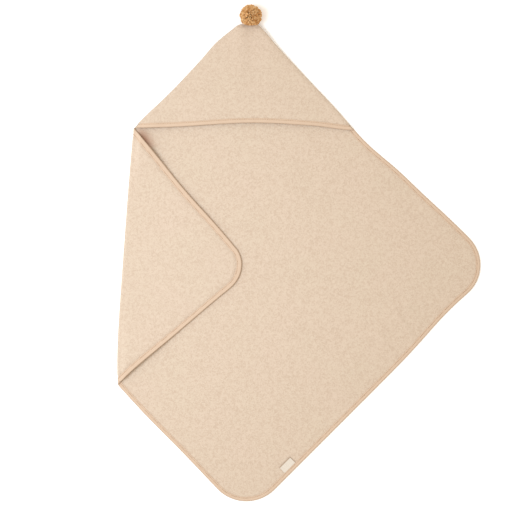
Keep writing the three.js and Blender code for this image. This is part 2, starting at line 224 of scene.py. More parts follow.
@dataclass
class SquareCut:
    """The finished outline of the square, turned as a diamond about its own centre."""

    side: float = 0.730
    corner_radius: float = 0.083
    left_corner_radius: float = 0.067
    tip_cut: float = 0.020
    tip_radius: float = 0.016
    tip_pull: Spot = Spot(0.0, 0.4962, 0.006, 0.040)
    dips: tuple[Spot, ...] = (
        Spot(0.153, 0.364, 0.0040, 0.092),
        Spot(0.254, 0.262, 0.0110, 0.082),
        Spot(0.356, 0.160, 0.0035, 0.075),
        Spot(0.420, -0.097, 0.0065, 0.090),
        Spot(-0.137, -0.379, 0.0030, 0.100),
        Spot(-0.301, -0.215, 0.0075, 0.130),
        Spot(-0.451, -0.066, 0.0100, 0.156),
        Spot(-0.353, 0.163, 0.0050, 0.093),
        Spot(-0.155, 0.361, 0.0025, 0.066),
        Spot(-0.060, 0.456, -0.0030, 0.034),
        Spot(0.042, 0.476, -0.0015, 0.020),
    )
    arc_points: int = 46
    search_points: int = 4001

    def __post_init__(self) -> None:
        """Draws the five round corners clockwise, with the straight sides between them."""
        tip_lean = self.tip_radius * math.tan(math.pi / 8)
        tip_x, tip_y = self.tip_cut - tip_lean, self.half_diagonal - self.tip_cut - self.tip_radius
        reach = self.half_diagonal - self.corner_radius * math.sqrt(2)
        left_reach = self.half_diagonal - self.left_corner_radius * math.sqrt(2)
        arcs = (
            (tip_x, tip_y, self.tip_radius, 90, 45),
            (reach, 0, self.corner_radius, 45, -45),
            (0, -reach, self.corner_radius, -45, -135),
            (-left_reach, 0, self.left_corner_radius, -135, -225),
            (-tip_x, tip_y, self.tip_radius, 135, 90),
        )
        points, inwards = [], []
        for x, y, radius, start, stop in arcs:
            turn = np.radians(np.linspace(start, stop, self.arc_points))
            spokes = np.stack([np.cos(turn), np.sin(turn)], axis=1)
            points.append(np.array([x, y]) + radius * spokes)
            inwards.append(-spokes)
        self._points = np.concatenate([*points, points[0][:1]])
        self._inwards = np.concatenate([*inwards, inwards[0][:1]])
        steps = np.hypot(*np.diff(self._points, axis=0).T)
        self._lengths = np.concatenate([[0], np.cumsum(steps)])

    @property
    def half_diagonal(self) -> float:
        """From the square's centre to a corner, before it is rounded."""
        return self.side / math.sqrt(2)

    @property
    def total(self) -> float:
        """The outline's whole length."""
        return float(self._lengths[-1])

    def end(self, stretch: Stretch) -> float:
        """Finds the distance along the outline at which a stretch ends.

        Args:
            stretch: the stretch.

        Returns:
            The distance.
        """
        arcs, lines = divmod(stretch.value + 1, 2)
        number = (arcs + lines) * self.arc_points - lines
        return float(self._lengths[number])

    def locate(self, length: Array, inset: Array | float) -> tuple[Array, Array]:
        """Finds flat points.

        Args:
            length: distances along the outline.
            inset: distances inside it.

        Returns:
            The points' x and y about the square's centre.
        """
        along = np.mod(length, self.total)
        x, y, nx, ny = (
            np.interp(along, self._lengths, table[:, k])
            for table in (self._points, self._inwards)
            for k in (0, 1)
        )
        depth = inset + sum(dip.at(x, y) for dip in self.dips)
        return x + self.tip_pull.at(x, y) + nx * depth, y + ny * depth

    def find(self, start: Stretch, stop: Stretch, measure: Callable[[Array, Array], Array]) -> float:
        """Finds where a measure of the outline's points passes zero, between two stretches' ends.

        Args:
            start: the stretch at whose end the search starts.
            stop: the stretch at whose end it stops.
            measure: turns flat points' x and y to the measure.

        Returns:
            The first such distance along the outline.
        """
        lengths = np.linspace(self.end(start), self.end(stop), self.search_points)
        values = measure(*self.locate(lengths, 0.0))
        i = int(np.flatnonzero(np.diff(np.sign(values)))[0])
        share = values[i] / (values[i] - values[i + 1])
        return float(lengths[i] + share * (lengths[i + 1] - lengths[i]))


@dataclass
class Fold:
    """The round fold of the left corner: where its line is, and how the corner lies past it."""

    middle: tuple[float, float] = (-0.2467, 0.0202)
    lean: float = math.radians(3.5)
    radius: float = 0.0046
    terry: float = 0.0030
    half_length: float = 0.266
    bow: float = 0.0050
    bow_squareness: float = 4
    bow_skew: float = 0.6
    bow_reach: float = 0.060
    shear: float = 0.10
    stretch: float = 1.028
    settle: float = 0.0008
    settle_reach: float = 0.060
    lift_from: float = 0.012
    lifts: tuple[Spot, ...] = (
        Spot(0.022, 0.246, 0.0115, 0.062),
        Spot(0.120, 0.110, 0.0020, 0.080),
        Spot(0.038, -0.222, 0.0056, 0.076),
    )

    @property
    def half_bend(self) -> float:
        """Half the length of cloth that goes round the fold."""
        return math.pi * (self.radius - self.terry / 2) / 2

    def to_fold(self, x: Array, y: Array) -> tuple[Array, Array]:
        """Turns flat points to their distance right of the fold's line and along it.

        Args:
            x: places across the flat cloth.
            y: places along it.

        Returns:
            The distances right of the line, and along it.
        """
        cos, sin = math.cos(self.lean), math.sin(self.lean)
        dx, dy = x - self.middle[0], y - self.middle[1]
        return cos * dx - sin * dy, sin * dx + cos * dy

    def from_fold(self, across: Array, along: Array) -> tuple[Array, Array]:
        """Turns distances from the fold's line and along it back to flat points.

        Args:
            across: distances right of the fold's line.
            along: distances along it.

        Returns:
            The flat points' x and y.
        """
        cos, sin = math.cos(self.lean), math.sin(self.lean)
        return (
            cos * across + sin * along + self.middle[0],
            cos * along - sin * across + self.middle[1],
        )

    def settled(self, reach: Array, along: Array) -> Array:
        """Works out how far the folded corner stands above the height it has at the fold.

        Args:
            reach: distances past the fold.
            along: distances along it.

        Returns:
            The heights.
        """
        lifts = sum(lift.at(reach, along) for lift in self.lifts)
        return lifts * ramp(reach, 0, self.lift_from) - self.settle * ramp(reach, 0, self.settle_reach)

    def place(self, x: Array, y: Array, height: Array) -> tuple[Array, Array, Array]:
        """Folds the cloth.

        Args:
            x: the flat points' places across the square.
            y: the same, towards the hood's tip.
            height: their height above the floor while the cloth is unfolded.

        Returns:
            The points' x, y and z about the square's centre.
        """
        u, s = self.to_fold(x, y)
        u, s, height = np.broadcast_arrays(u, s, height)
        reach = np.maximum(-u - self.half_bend, 0)
        turn = np.pi * (self.half_bend - u) / (2 * self.half_bend)
        folded, flat = u < -self.half_bend, u > self.half_bend
        along = s + self.shear * reach
        across = self.radius - (self.radius - height) * np.sin(turn)
        across = np.where(folded, self.radius + self.stretch * reach, across)
        across = np.where(flat, self.radius + u - self.half_bend, across)
        z = self.radius - (self.radius - height) * np.cos(turn)
        z = np.where(folded, 2 * self.radius - height + self.settled(reach, along), z)
        z = np.where(flat, height, z)
        share = np.clip(along / self.half_length, -1, 1)
        bow = self.bow * (1 - np.abs(share) ** self.bow_squareness) * (1 - self.bow_skew * share)
        px, py = self.from_fold(across - bow * bell(across, self.bow_reach), along)
        return px, py, z


@dataclass
class CapeForm:
    """The whole cape's form: its cut, its fold, its hood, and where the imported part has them."""

    cut: SquareCut = field(default_factory=SquareCut)
    fold: Fold = field(default_factory=Fold)
    hood_gap: float = 0.0008
    mouth_level: float = 0.2828
    mouth_arch: Spot = Spot(0.016, 0.0, 0.011, 0.138)
    mouth_droop: float = 0.0052
    droop_from: float = 0.135
    droop_to: float = 0.217
    puff: float = 0.0030
    puff_reach: float = 0.090
    tip_rise: float = 0.009
    tip_rise_reach: float = 0.062
    pompom_x: float = 0.009
    pompom_gap: float = 0.0005
    corner_lift: Spot = Spot(-0.198, 0.286, 0.0050, 0.032)
    seam_hold: float = 0.020
    gather_reach: float = 0.115
    gather_fan: float = 0.300
    gather_start: tuple[float, float] = (-0.002, 0.012)
    gathers: tuple[tuple[float, float, float], ...] = (
        (-0.0600, 0.0034, 0.0220),
        (-0.0206, 0.0050, 0.0190),
        (0.0040, -0.0020, 0.0160),
        (0.0400, 0.0034, 0.0320),
    )
    tuck: Crease = Crease((-0.2245, 0.2830), (-0.1910, 0.2370), 0.0045, 0.0125)
    tuck_start: float = 0.004
    ripples: tuple[Crease, ...] = (
        Crease((0.300, -0.080), (0.352, -0.158), 0.0022, 0.0055),
        Crease((0.322, -0.072), (0.362, -0.118), 0.0012, 0.0060),
        Crease((0.252, -0.120), (0.318, -0.196), 0.0013, 0.0075),
        Crease((0.205, -0.168), (0.236, -0.232), 0.0014, 0.0060),
        Crease((0.140, -0.160), (0.248, -0.246), 0.0007, 0.0110),
        Crease((0.020, 0.190), (0.130, 0.132), 0.0006, 0.0120),
        Crease((0.060, -0.330), (0.000, -0.420), 0.0007, 0.0090),
        Crease((-0.070, -0.300), (-0.110, -0.360), 0.0006, 0.0080),
    )
    swells: Ripple = Ripple(0.085, 41)
    swell_height: float = 0.0007
    swell_end: tuple[float, float] = (0.49, 0.40)
    open_start: tuple[float, float] = (0.27, 0.33)
    open_end: tuple[float, float] = (0.20, 0.27)
    fitting_points: int = 4000
    centre: tuple[float, float] = (0.0, 0.0)

    @classmethod
    def fitted(cls) -> CapeForm:
        """The form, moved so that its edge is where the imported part's edge strip lies.

        Returns:
            The form.
        """
        form = cls()
        x, y = form.cut.locate(np.linspace(0, form.cut.total, form.fitting_points), 0.0)
        low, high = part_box("binding_edge")
        form.centre = (high.x - float(x.max()), low.y - float(y.min()))
        return form

    @property
    def tip(self) -> tuple[float, float]:
        """Where the pompom is sewn to the hood's tip."""
        return self.pompom_x, self.cut.half_diagonal - self.cut.tip_cut + self.pompom_gap

    def mouth(self, x: Array) -> Array:
        """Where the hood's opening lies, along y, at a place across the cape."""
        droop = self.mouth_droop * ramp(x, self.droop_from, self.droop_to)
        return self.mouth_level + self.mouth_arch.at(x, 0.0) - droop

    def rise(self, x: Array, y: Array) -> Array:
        """Works out how far both layers are drawn up by the folds below the hood's tip.

        Args:
            x: places across the flat cloth.
            y: places along it, towards the hood's tip.

        Returns:
            The heights.
        """
        whole = self.tip_rise * bell(np.hypot(x - self.tip[0], y - self.tip[1]), self.tip_rise_reach)
        drop = np.maximum(self.tip[1] - y, 0)
        fan = 1 + drop / self.gather_fan
        fade = bell(drop, self.gather_reach) * ramp(drop, *self.gather_start)
        return whole + fade * sum(
            height * bell(x - self.tip[0] - offset * fan, width * fan)
            for offset, height, width in self.gathers
        )

    def ripple(self, x: Array, y: Array) -> Array:
        """Works out how far the open part of the square stands off the floor.

        Args:
            x: places across the flat cloth.
            y: places along it, towards the hood's tip.

        Returns:
            The heights.
        """
        u, _ = self.fold.to_fold(x, y)
        open_part = ramp(u, *self.open_start) * (1 - ramp(y, *self.open_end))
        swell = self.swell_height * (1 + self.swells.at(x, y)) / 2
        edge = ramp(np.abs(x) + np.abs(y), *self.swell_end)
        ridges = sum(crease.at(x, y) for crease in self.ripples)
        return open_part * (ridges + swell * edge)

    def tucked(self, x: Array, y: Array) -> Array:
        """How far the open part stands up where it is tucked in beside the fold's upper end."""
        u, _ = self.fold.to_fold(x, y)
        return self.tuck.at(x, y) * ramp(u, self.fold.half_bend, self.fold.half_bend + self.tuck_start)

    def on_square(self, x: Array, y: Array, height: Array | float) -> Array:
        """Places flat points of the square, and what is sewn to it, in the row frame.

        Args:
            x: places across the flat square, about its centre.
            y: places along it, towards the hood's tip.
            height: height above the floor while the square is unfolded.

        Returns:
            Points with x, y and z in their last axis.
        """
        px, py, z = self.fold.place(x, y, height)
        z = z + self.rise(px, py) + self.ripple(x, y) + self.tucked(x, y)
        return np.stack([px + self.centre[0], py + self.centre[1], z], axis=-1)

    def on_hood(self, x: Array, y: Array, height: Array | float, from_seam: Array) -> Array:
        """Places flat points of the hood in the row frame.

        Args:
            x: places across, about the square's centre.
            y: places along.
            height: height above the hood's own underside.
            from_seam: distance from the hood's side seams.

        Returns:
            Points with x, y and z in their last axis.
        """
        puff = self.puff * ramp(from_seam, 0, self.puff_reach)
        puff = puff * bell(y - self.mouth(x), self.puff_reach)
        base = self.fold.terry + self.hood_gap
        lift = self.corner_lift.at(x, y) * ramp(from_seam, 0, self.seam_hold)
        z = base + height + puff + self.rise(x, y) + lift
        return np.stack([x + self.centre[0], y + self.centre[1], z], axis=-1)


@dataclass
class EdgeMeasure:
    """Measures how far flat points are inside the finished outline."""

    cut: SquareCut
    spacing: float = 0.001
    probe: float = 0.01

    def __post_init__(self) -> None:
        """Stores closely spaced points of the outline and their inward directions."""
        lengths = np.arange(0, self.cut.total, self.spacing)
        x, y = self.cut.locate(lengths, 0.0)
        self._edge = np.stack([x, y], axis=1)
        within = np.stack(self.cut.locate(lengths, self.probe), axis=1)
        self._inwards = (within - self._edge) / self.probe
        self._tree = kdtree.KDTree(len(x))
        for i, (px, py) in enumerate(self._edge):
            self._tree.insert((px, py, 0), i)
        self._tree.balance()

    def inside(self, x: Array, y: Array) -> Array:
        """Measures how far points are inside the outline, below 0 outside it.

        Args:
            x: places across the flat cloth.
            y: places along it, towards the hood's tip.

        Returns:
            The distances, in the same shape as x.
        """
        flat_x, flat_y = np.ravel(x), np.ravel(y)
        nearest = np.array([self._tree.find((a, b, 0))[1] for a, b in zip(flat_x, flat_y)])
        steps = np.stack([flat_x, flat_y], axis=1) - self._edge[nearest]
        return np.sum(steps * self._inwards[nearest], axis=1).reshape(np.shape(x))


# ---- Meshes ----


def make_object(
    name: str,
    points: Array,
    faces: Sequence | Array = (),
    edges: Sequence = (),
    places: Mapping[str, Array] | None = None,
) -> bpy.types.Object:
    """Makes a smooth-shaded mesh object at the origin.

    Args:
        name: the piece's name.
        points: its vertices in the row frame.
        faces: its faces, which point outwards.
        edges: its loose edges.
        places: by name, two numbers for each vertex, stored as a UV map.

    Returns:
        The object, in the scene.
    """
    mesh = bpy.data.meshes.new(name)
    mesh.from_pydata(np.asarray(points).tolist(), list(edges), np.asarray(faces).tolist())
    mesh.polygons.foreach_set("use_smooth", np.ones(len(mesh.polygons), bool))
    corners = np.empty(len(mesh.loops), np.int32)
    mesh.loops.foreach_get("vertex_index", corners)
    for title, values in (places or {}).items():
        layer = mesh.uv_layers.new(name=title)
        layer.data.foreach_set("uv", values[corners].astype(np.float32).ravel())
    mesh.update()
    made = bpy.data.objects.new(name, mesh)
    bpy.context.scene.collection.objects.link(made)
    return made


def store(made: bpy.types.Object, name: str, values: Array) -> None:
    """Stores a number or a vector with each vertex of a piece."""
    kind, key = ("FLOAT", "value") if values.ndim == 1 else ("FLOAT_VECTOR", "vector")
    made.data.attributes.new(name, kind, "POINT").data.foreach_set(key, values.ravel())


def tube_faces(count: int, ring: int) -> Array:
    """The faces of a flattened tube, closed at both ends.

    Args:
        count: how many rings of points it has.
        ring: how many points each ring has.

    Returns:
        Four numbers for each face.
    """
    i, j = np.meshgrid(np.arange(count - 1), np.arange(ring), indexing="ij")
    a, b = (i * ring + j).ravel(), (i * ring + (j + 1) % ring).ravel()
    m = np.arange(ring // 2 - 1)
    cap = np.stack([m, ring - 1 - m, ring - 2 - m, m + 1], axis=1)
    sides = np.stack([a, b, b + ring, a + ring], axis=1)
    return np.concatenate([sides, cap, cap[:, ::-1] + (count - 1) * ring])


def hexagon_points(low: tuple[float, float], high: tuple[float, float], spacing: float) -> Array:
    """Loose points in rows, each row shifted by half a step, over a rectangle.

    Args:
        low: the rectangle's lower left corner.
        high: its upper right corner.
        spacing: how far apart the points are.

    Returns:
        The points, one row each.
    """
    rows = np.arange(low[1], high[1], spacing * math.sqrt(3) / 2)
    columns = np.arange(low[0], high[0], spacing)
    x, y = np.meshgrid(columns, rows)
    x = x + (np.arange(len(rows)) % 2)[:, None] * spacing / 2
    return np.stack([x.ravel(), y.ravel()], axis=1)


@dataclass
class Facing:
    """One face of a cloth wall, in flat points: its points, triangles and rim."""

    points: Array
    triangles: Array
    rim: Array

    @classmethod
    def fill(cls, rim: Array, loose: Array) -> Facing:
        """Fills a rim with triangles.

        Args:
            rim: the rim's points, anticlockwise.
            loose: the points inside it.

        Returns:
            The face, with the rim's points by number in rim.
        """
        every = [Vector(p) for p in np.concatenate([rim, loose])]
        found = geometry.delaunay_2d_cdt(every, [], [list(range(len(rim)))], 1, SAME_POINT)
        points, _, triangles, origins, _, _ = found
        numbers = np.zeros(len(rim), int)
        for new, old in enumerate(origins):
            for one in old:
                if one < len(rim):
                    numbers[one] = new
        return cls(np.array([tuple(p) for p in points]), np.array(triangles), numbers)

    @property
    def area(self) -> float:
        """Its flat area.

        Returns:
            The area in square metres.
        """
        a, b, c = (self.points[self.triangles[:, k]] for k in range(3))
        cross = (b - a)[:, 0] * (c - a)[:, 1] - (b - a)[:, 1] * (c - a)[:, 0]
        return float(np.abs(cross).sum() / 2)


def close_wall(front: Facing, back: Facing, front_places: Array, back_places: Array) -> tuple:
    """Joins two faces of a cloth into one closed wall.

    Args:
        front: the face that looks up while the cloth is flat.
        back: the other face, with the same rim.
        front_places: where the front's points are.
        back_places: where the back's points are.

    Returns:
        The wall's points and its triangles, which point outwards.
    """
    shift = len(front.points)
    points = np.concatenate([front_places, back_places])
    a, b = front.rim, np.roll(front.rim, -1)
    c, d = back.rim + shift, np.roll(back.rim, -1) + shift
    sides = [np.stack([a, c, d], axis=1), np.stack([a, d, b], axis=1)]
    triangles = np.concatenate([front.triangles, back.triangles[:, ::-1] + shift, *sides])
    return points, triangles


# ---- Finishes ----


@dataclass
class Shades:
    """A material's nodes, made of the few kinds that the finishes need."""

    name: str

    def __post_init__(self) -> None:
        """Makes the empty material."""
        self.material = bpy.data.materials.new(self.name)
        self.material.use_nodes = True
        self.tree = self.material.node_tree
        self.tree.nodes.clear()

    def place(self) -> Socket:
        """Where each point is, in metres."""
        return add_node(self.tree, "ShaderNodeTexCoord").outputs["Object"]

    def laid(self, name: str) -> Socket:
        """Where each point is along and across a strip or tape, in metres."""
        return add_node(self.tree, "ShaderNodeUVMap", {"uv_map": name}).outputs["UV"]

    def stored(self, name: str) -> Socket:
        """A number stored with each vertex."""
        return add_node(self.tree, "ShaderNodeAttribute", {"attribute_name": name}).outputs["Fac"]

    def part(self, place: Socket, number: int) -> Socket:
        """One number of a place."""
        return add_node(self.tree, "ShaderNodeSeparateXYZ", None, {0: place}).outputs[number]

    def math(self, operation: str, first: Socket | float, second: Socket | float = 0.0) -> Socket:
        """One number worked out from two."""
        settings = {"operation": operation}
        return add_node(self.tree, "ShaderNodeMath", settings, {0: first, 1: second}).outputs[0]

    def rise(self, value: Socket, start: float, stop: float) -> Socket:
        """Rises smoothly from 0 where a value is at start to 1 where it is at stop.

        Args:
            value: the value.
            start: where the rise starts.
            stop: where it ends.

        Returns:
            The values, from 0 to 1.
        """
        inputs = {"Value": value, "From Min": start, "From Max": stop}
        settings = {"interpolation_type": "SMOOTHSTEP"}
        return add_node(self.tree, "ShaderNodeMapRange", settings, inputs).outputs["Result"]

    def noise(
        self, place: Socket, pitch: float, detail: float, roughness: float = 0.5, bent: float = 0.0
    ) -> Socket:
        """Uneven values.

        Args:
            place: where each point is.
            pitch: about how far apart the values' highs are.
            detail: how many finer layers there are.
            roughness: how strong the finer layers are.
            bent: how far the pattern is bent.

        Returns:
            The values, from 0 to 1.
        """
        inputs = {
            "Vector": place, "Scale": 1 / pitch, "Detail": detail, "Roughness": roughness,
            "Distortion": bent,
        }
        return add_node(self.tree, "ShaderNodeTexNoise", None, inputs).outputs["Fac"]

    def wave(self, place: Socket, pitch: float, bent: float, detail: float = 2.0) -> Socket:
        """Parallel ribs across a place's first number, a pitch apart and a little bent.

        Args:
            place: where each point is.
            pitch: how far apart the ribs are.
            bent: how far they are bent.
            detail: how many finer layers bend them.

        Returns:
            The values, from 0 to 1.
        """
        inputs = {
            "Vector": place, "Scale": math.pi / 10 / pitch, "Detail": detail, "Distortion": bent,
        }
        return add_node(self.tree, "ShaderNodeTexWave", None, inputs).outputs["Fac"]

    def mix(self, share: Socket, first: Socket | str, second: Socket | str) -> Socket:
        """Mixes two colours, each a hex code or an output: the first at 0, the second at 1.

        Args:
            share: how much of the second colour there is.
            first: the colour at 0.
            second: the colour at 1.

        Returns:
            The mixed colour.
        """
        first, second = (linear(c) if isinstance(c, str) else c for c in (first, second))
        inputs = {0: share, 6: first, 7: second}
        return add_node(self.tree, "ShaderNodeMix", {"data_type": "RGBA"}, inputs).outputs[2]

    def bump(
        self, height: Socket, depth: float, strength: float, under: Socket | None = None
    ) -> Socket:
        """Raised and sunken places, on top of others where these are given.

        Args:
            height: the heights, from 0 to 1.
            depth: how deep the full height is.
            strength: how strongly it shows.
            under: the raised places below these.

        Returns:
            The surface's new direction.
        """
        inputs = {"Height": height, "Distance": depth, "Strength": strength}
        if under is not None:
            inputs["Normal"] = under
        return add_node(self.tree, "ShaderNodeBump", None, inputs).outputs["Normal"]

    def end(self, inputs: Mapping[str, object]) -> None:
        """Ends the tree in a surface with these inputs."""
        surface = add_node(self.tree, "ShaderNodeBsdfPrincipled", None, inputs).outputs[0]
        add_node(self.tree, "ShaderNodeOutputMaterial", None, {0: surface})


@dataclass(frozen=True)
class Finish:
    """What all finishes share: a name, and a material made of nodes."""

    name: str

    def make(self) -> bpy.types.Material:
        """Makes the material.

        Returns:
            The material.
        """
        shades = Shades(self.name)
        self.fill(shades)
        return shades.material

    def fill(self, shades: Shades) -> None:
        """Adds the finish's own nodes to its empty material."""
        raise NotImplementedError


@dataclass(frozen=True)
class TerryFinish(Finish):
    """Cotton terry towelling, woven with a short looped pile that lies every way.

    The loops scatter light, so it is matt with a soft sheen at its edges. Its colour is painted
    darker where the loops and tufts are low, as painted shade between tufts of loops. Beside the
    fold's upper end, where the cloth is tucked in, painted shade darkens it further.
    """

    pile: str = "#d1bba7"
    # painted shade: the colour of the pile's low places, darker as if in shade
    hollow_shade: str = "#c4ae98"
    wash: str = "#cebda6"
    # painted shade: the colour mixed in beside the fold's upper end, where the tuck would lie in shade
    tuck_shade_colour: str = "#ab8670"
    loop: float = 2.2 * MM  # real loops are 1 to 1.5 mm apart, which is too fine to show
    tuft: float = 5.2 * MM
    wash_pitch: float = 95 * MM
    loop_depth: float = 0.9 * MM
    tuft_depth: float = 0.9 * MM
    pile_shade_range: tuple[float, float] = (0.78, 1.14)

    def fill(self, shades: Shades) -> None:
        """Adds loops on tufts and a slow wash, with painted shade in low places and beside the fold.

        Args:
            shades: the material's nodes.
        """
        place = shades.place()
        loops = shades.noise(place, self.loop, 3.0, 0.62)
        tufts = shades.noise(place, self.tuft, 2.0, 0.55, 1.1)
        ground = shades.mix(shades.noise(place, self.wash_pitch, 2.0), self.pile, self.wash)
        # painted shade: the colour darkens where the loops and tufts are low
        depth = shades.rise(shades.math("ADD", loops, tufts), *self.pile_shade_range)
        colour = shades.mix(depth, self.hollow_shade, ground)
        coarse = shades.bump(tufts, self.tuft_depth, 0.55)
        # painted shade: the stored tuck share mixes in the painted shade colour beside the fold
        shades.end({
            "Base Color": shades.mix(shades.stored("tuck_shade_share"), colour, self.tuck_shade_colour),
            "Roughness": 1.0, "Specular IOR Level": 0.15,
            "Sheen Weight": 0.18, "Sheen Roughness": 0.6,
            "Normal": shades.bump(loops, self.loop_depth, 0.7, coarse),
        })


@dataclass(frozen=True)
class StripFinish(Finish):
    """Plain-woven cotton cut on the bias and folded into binding: smooth, matt, threads slanting."""

    cloth: str = "#c9ae95"
    rubbed: str = "#cfb69d"
    # painted shade: the colour of the strip's rounded nose, darker as if the edge turns from the lamp
    nose: str = "#b99f87"
    nose_shade_width: float = 2.4 * MM
    wear_pitch: float = 14 * MM
    thread: float = 1.1 * MM  # real threads are 0.3 mm apart, which is too fine to show
    depth: float = 0.12 * MM

    def fill(self, shades: Shades) -> None:
        """Adds the weave, slanting at 45 degrees to the strip's length, and painted shade on its nose.

        Args:
            shades: the material's nodes.
        """
        place = shades.laid("strip")
        waves = []
        for turn in (math.pi / 4, -math.pi / 4):
            inputs = {"Vector": place, "Rotation": (0.0, 0.0, turn)}
            turned = add_node(shades.tree, "ShaderNodeMapping", None, inputs).outputs[0]
            waves.append(shades.wave(turned, self.thread, 1.2, 1.0))
        worn = shades.noise(shades.place(), self.wear_pitch, 3.0)
        colour = shades.mix(worn, self.cloth, self.rubbed)
        # painted shade: the nose colour fades in towards the strip's outer edge
        flat = shades.rise(shades.math("ABSOLUTE", shades.part(place, 1)), 0.0, self.nose_shade_width)
        shades.end({
            "Base Color": shades.mix(flat, self.nose, colour),
            "Roughness": 0.85, "Specular IOR Level": 0.25,
            "Sheen Weight": 0.1, "Sheen Roughness": 0.5,
            "Normal": shades.bump(shades.math("MAXIMUM", *waves), self.depth, 0.5),
        })


@dataclass(frozen=True)
class ThreadFinish(Finish):
    """Spun polyester sewing thread, two plies twisted together: a little shinier than the strip."""

    thread: str = "#b29270"
    ply: str = "#9b7d60"
    twist: float = 0.8 * MM
    depth: float = 0.1 * MM

    def fill(self, shades: Shades) -> None:
        """Adds the two plies' shades and their twist.

        Args:
            shades: the material's nodes.
        """
        plies = shades.noise(shades.place(), self.twist, 1.0)
        shades.end({
            "Base Color": shades.mix(plies, self.ply, self.thread), "Roughness": 0.6,
            "Normal": shades.bump(plies, self.depth, 0.4),
        })


@dataclass(frozen=True)
class YarnFinish(Finish):
    """Soft spun yarn, cut short: fuzzy and matt, with painted shade far inside, between the strands."""

    # painted shade: the colour far inside the ball, darker as if in the strands' shade
    deep_shade: str = "#96592c"
    strand: str = "#c88c4c"
    light: str = "#efc78e"
    fibre: float = 1.0 * MM
    fibre_depth: float = 0.3 * MM
    centre: tuple[float, float, float] = (0.0, 0.0, 0.0)
    radius: float = 0.024
    shade_depths: tuple[float, float] = (0.55, 0.90)

    def fill(self, shades: Shades) -> None:
        """Adds each strand's own random tone, and painted shade between strands near the middle.

        Args:
            shades: the material's nodes.
        """
        place = shades.place()
        way = {0: place, 1: self.centre}
        reach = add_node(shades.tree, "ShaderNodeVectorMath", {"operation": "DISTANCE"}, way)
        # painted shade: the colour darkens towards the ball's middle, as shade between the strands
        start, stop = (self.radius * share for share in self.shade_depths)
        depth = shades.rise(reach.outputs["Value"], start, stop)
        own = shades.mix(shades.stored("shade"), self.strand, self.light)
        fibres = shades.noise(place, self.fibre, 2.0)
        shades.end({
            "Base Color": shades.mix(depth, self.deep_shade, own),
            "Roughness": 1.0, "Specular IOR Level": 0.15,
            "Sheen Weight": 0.1, "Sheen Roughness": 0.6,
            "Normal": shades.bump(fibres, self.fibre_depth, 0.6),
        })


@dataclass(frozen=True)
class TapeFinish(Finish):
    """Woven cotton tape: close ribs across its length, with a firmer edge on each side."""

    tape: str = "#dfd4c5"
    rib: str = "#cec2b2"
    # painted shade: the colour of thin lines along the tape's fold and its end, as if in shade
    fold: str = "#ab937c"
    ribs: float = 1.2 * MM  # real ribs are 0.4 mm apart, which is too fine to show
    rib_depth: float = 0.15 * MM
    fold_shade_width: float = 0.9 * MM
    length: float = 0.0310
    reach: float = 0.0158
    fold_shade_fade: tuple[float, float] = (0.6, 1.3)

    def fill(self, shades: Shades) -> None:
        """Adds the ribs, which follow the tape's length, and painted shade lines at fold and end.

        Args:
            shades: the material's nodes.
        """
        place = shades.laid("tape")
        ribs = shades.wave(place, self.ribs, 0.6)
        from_end = shades.math("ADD", shades.part(place, 0), self.length / 2)
        from_fold = shades.math("SUBTRACT", self.reach, shades.part(place, 1))
        # painted shade: darker lines close to the fold and the end
        start, stop = (self.fold_shade_width * share for share in self.fold_shade_fade)
        flat = shades.rise(shades.math("MINIMUM", from_end, from_fold), start, stop)
        colour = shades.mix(ribs, self.rib, self.tape)
        shades.end({
            "Base Color": shades.mix(flat, self.fold, colour),
            "Roughness": 0.7, "Specular IOR Level": 0.3,
            "Normal": shades.bump(ribs, self.rib_depth, 0.5),
        })


@dataclass(frozen=True)
class FloorFinish(Finish):
    """A plain pale painted floor, lit a little from below so that its shadows stay light."""

    paint: str = "#fefdfb"
    glow: float = 0.12

    def fill(self, shades: Shades) -> None:
        """Adds the paint and its faint glow.

        Args:
            shades: the material's nodes.
        """
        shades.end({
            "Base Color": linear(self.paint), "Roughness": 0.9, "Specular IOR Level": 0.1,
            "Emission Color": linear(self.paint), "Emission Strength": self.glow,
        })


# ---- Geometry Nodes ----


@dataclass
class NodeRecipe:
    """A Geometry Nodes tree with named inputs, run once on an object."""

    name: str

    def __post_init__(self) -> None:
        """Makes the empty tree with its geometry sockets."""
        self.tree = bpy.data.node_groups.new(self.name, "GeometryNodeTree")
        for way in ("INPUT", "OUTPUT"):
            self.tree.interface.new_socket("Geometry", in_out=way, socket_type="NodeSocketGeometry")

    def take(self, inputs: Mapping[str, float | bpy.types.Material]) -> bpy.types.Node:
        """Adds the tree's named inputs.

        Args:
            inputs: by name, the values that this run gives them.

        Returns:
            The node that holds them.
        """
        for name, value in inputs.items():
            kind = "NodeSocketFloat" if isinstance(value, float) else "NodeSocketMaterial"
            self.tree.interface.new_socket(name, in_out="INPUT", socket_type=kind)
        self._inputs = inputs
        return add_node(self.tree, "NodeGroupInput")

    def end(self, shape: Socket, material: Socket) -> None:
        """Ends the tree in Realize Instances and Set Material.

        Args:
            shape: the finished geometry.
            material: the output that holds its material.
        """
        real = add_node(self.tree, "GeometryNodeRealizeInstances", None, {0: shape})
        dressed = add_node(self.tree, "GeometryNodeSetMaterial", None, {
            "Geometry": real.outputs[0], "Material": material,
        })
        smooth = add_node(self.tree, "GeometryNodeSetShadeSmooth", None, {0: dressed.outputs[0]})
        add_node(self.tree, "NodeGroupOutput", None, {0: smooth.outputs[0]})

    def run(self, made: bpy.types.Object) -> None:
        """Puts the tree's result in the object's place as a plain mesh.

        Args:
            made: the object that the tree reads and replaces.
        """
        modifier = made.modifiers.new(self.name, "NODES")
        modifier.node_group = self.tree
        for item in self.tree.interface.items_tree:
            if item.in_out == "INPUT" and item.name in self._inputs:
                modifier[item.identifier] = self._inputs[item.name]
        evaluated = made.evaluated_get(bpy.context.evaluated_depsgraph_get())
        mesh = bpy.data.meshes.new_from_object(evaluated)
        made.modifiers.remove(modifier)
        made.data = mesh


# ---- The pieces ----


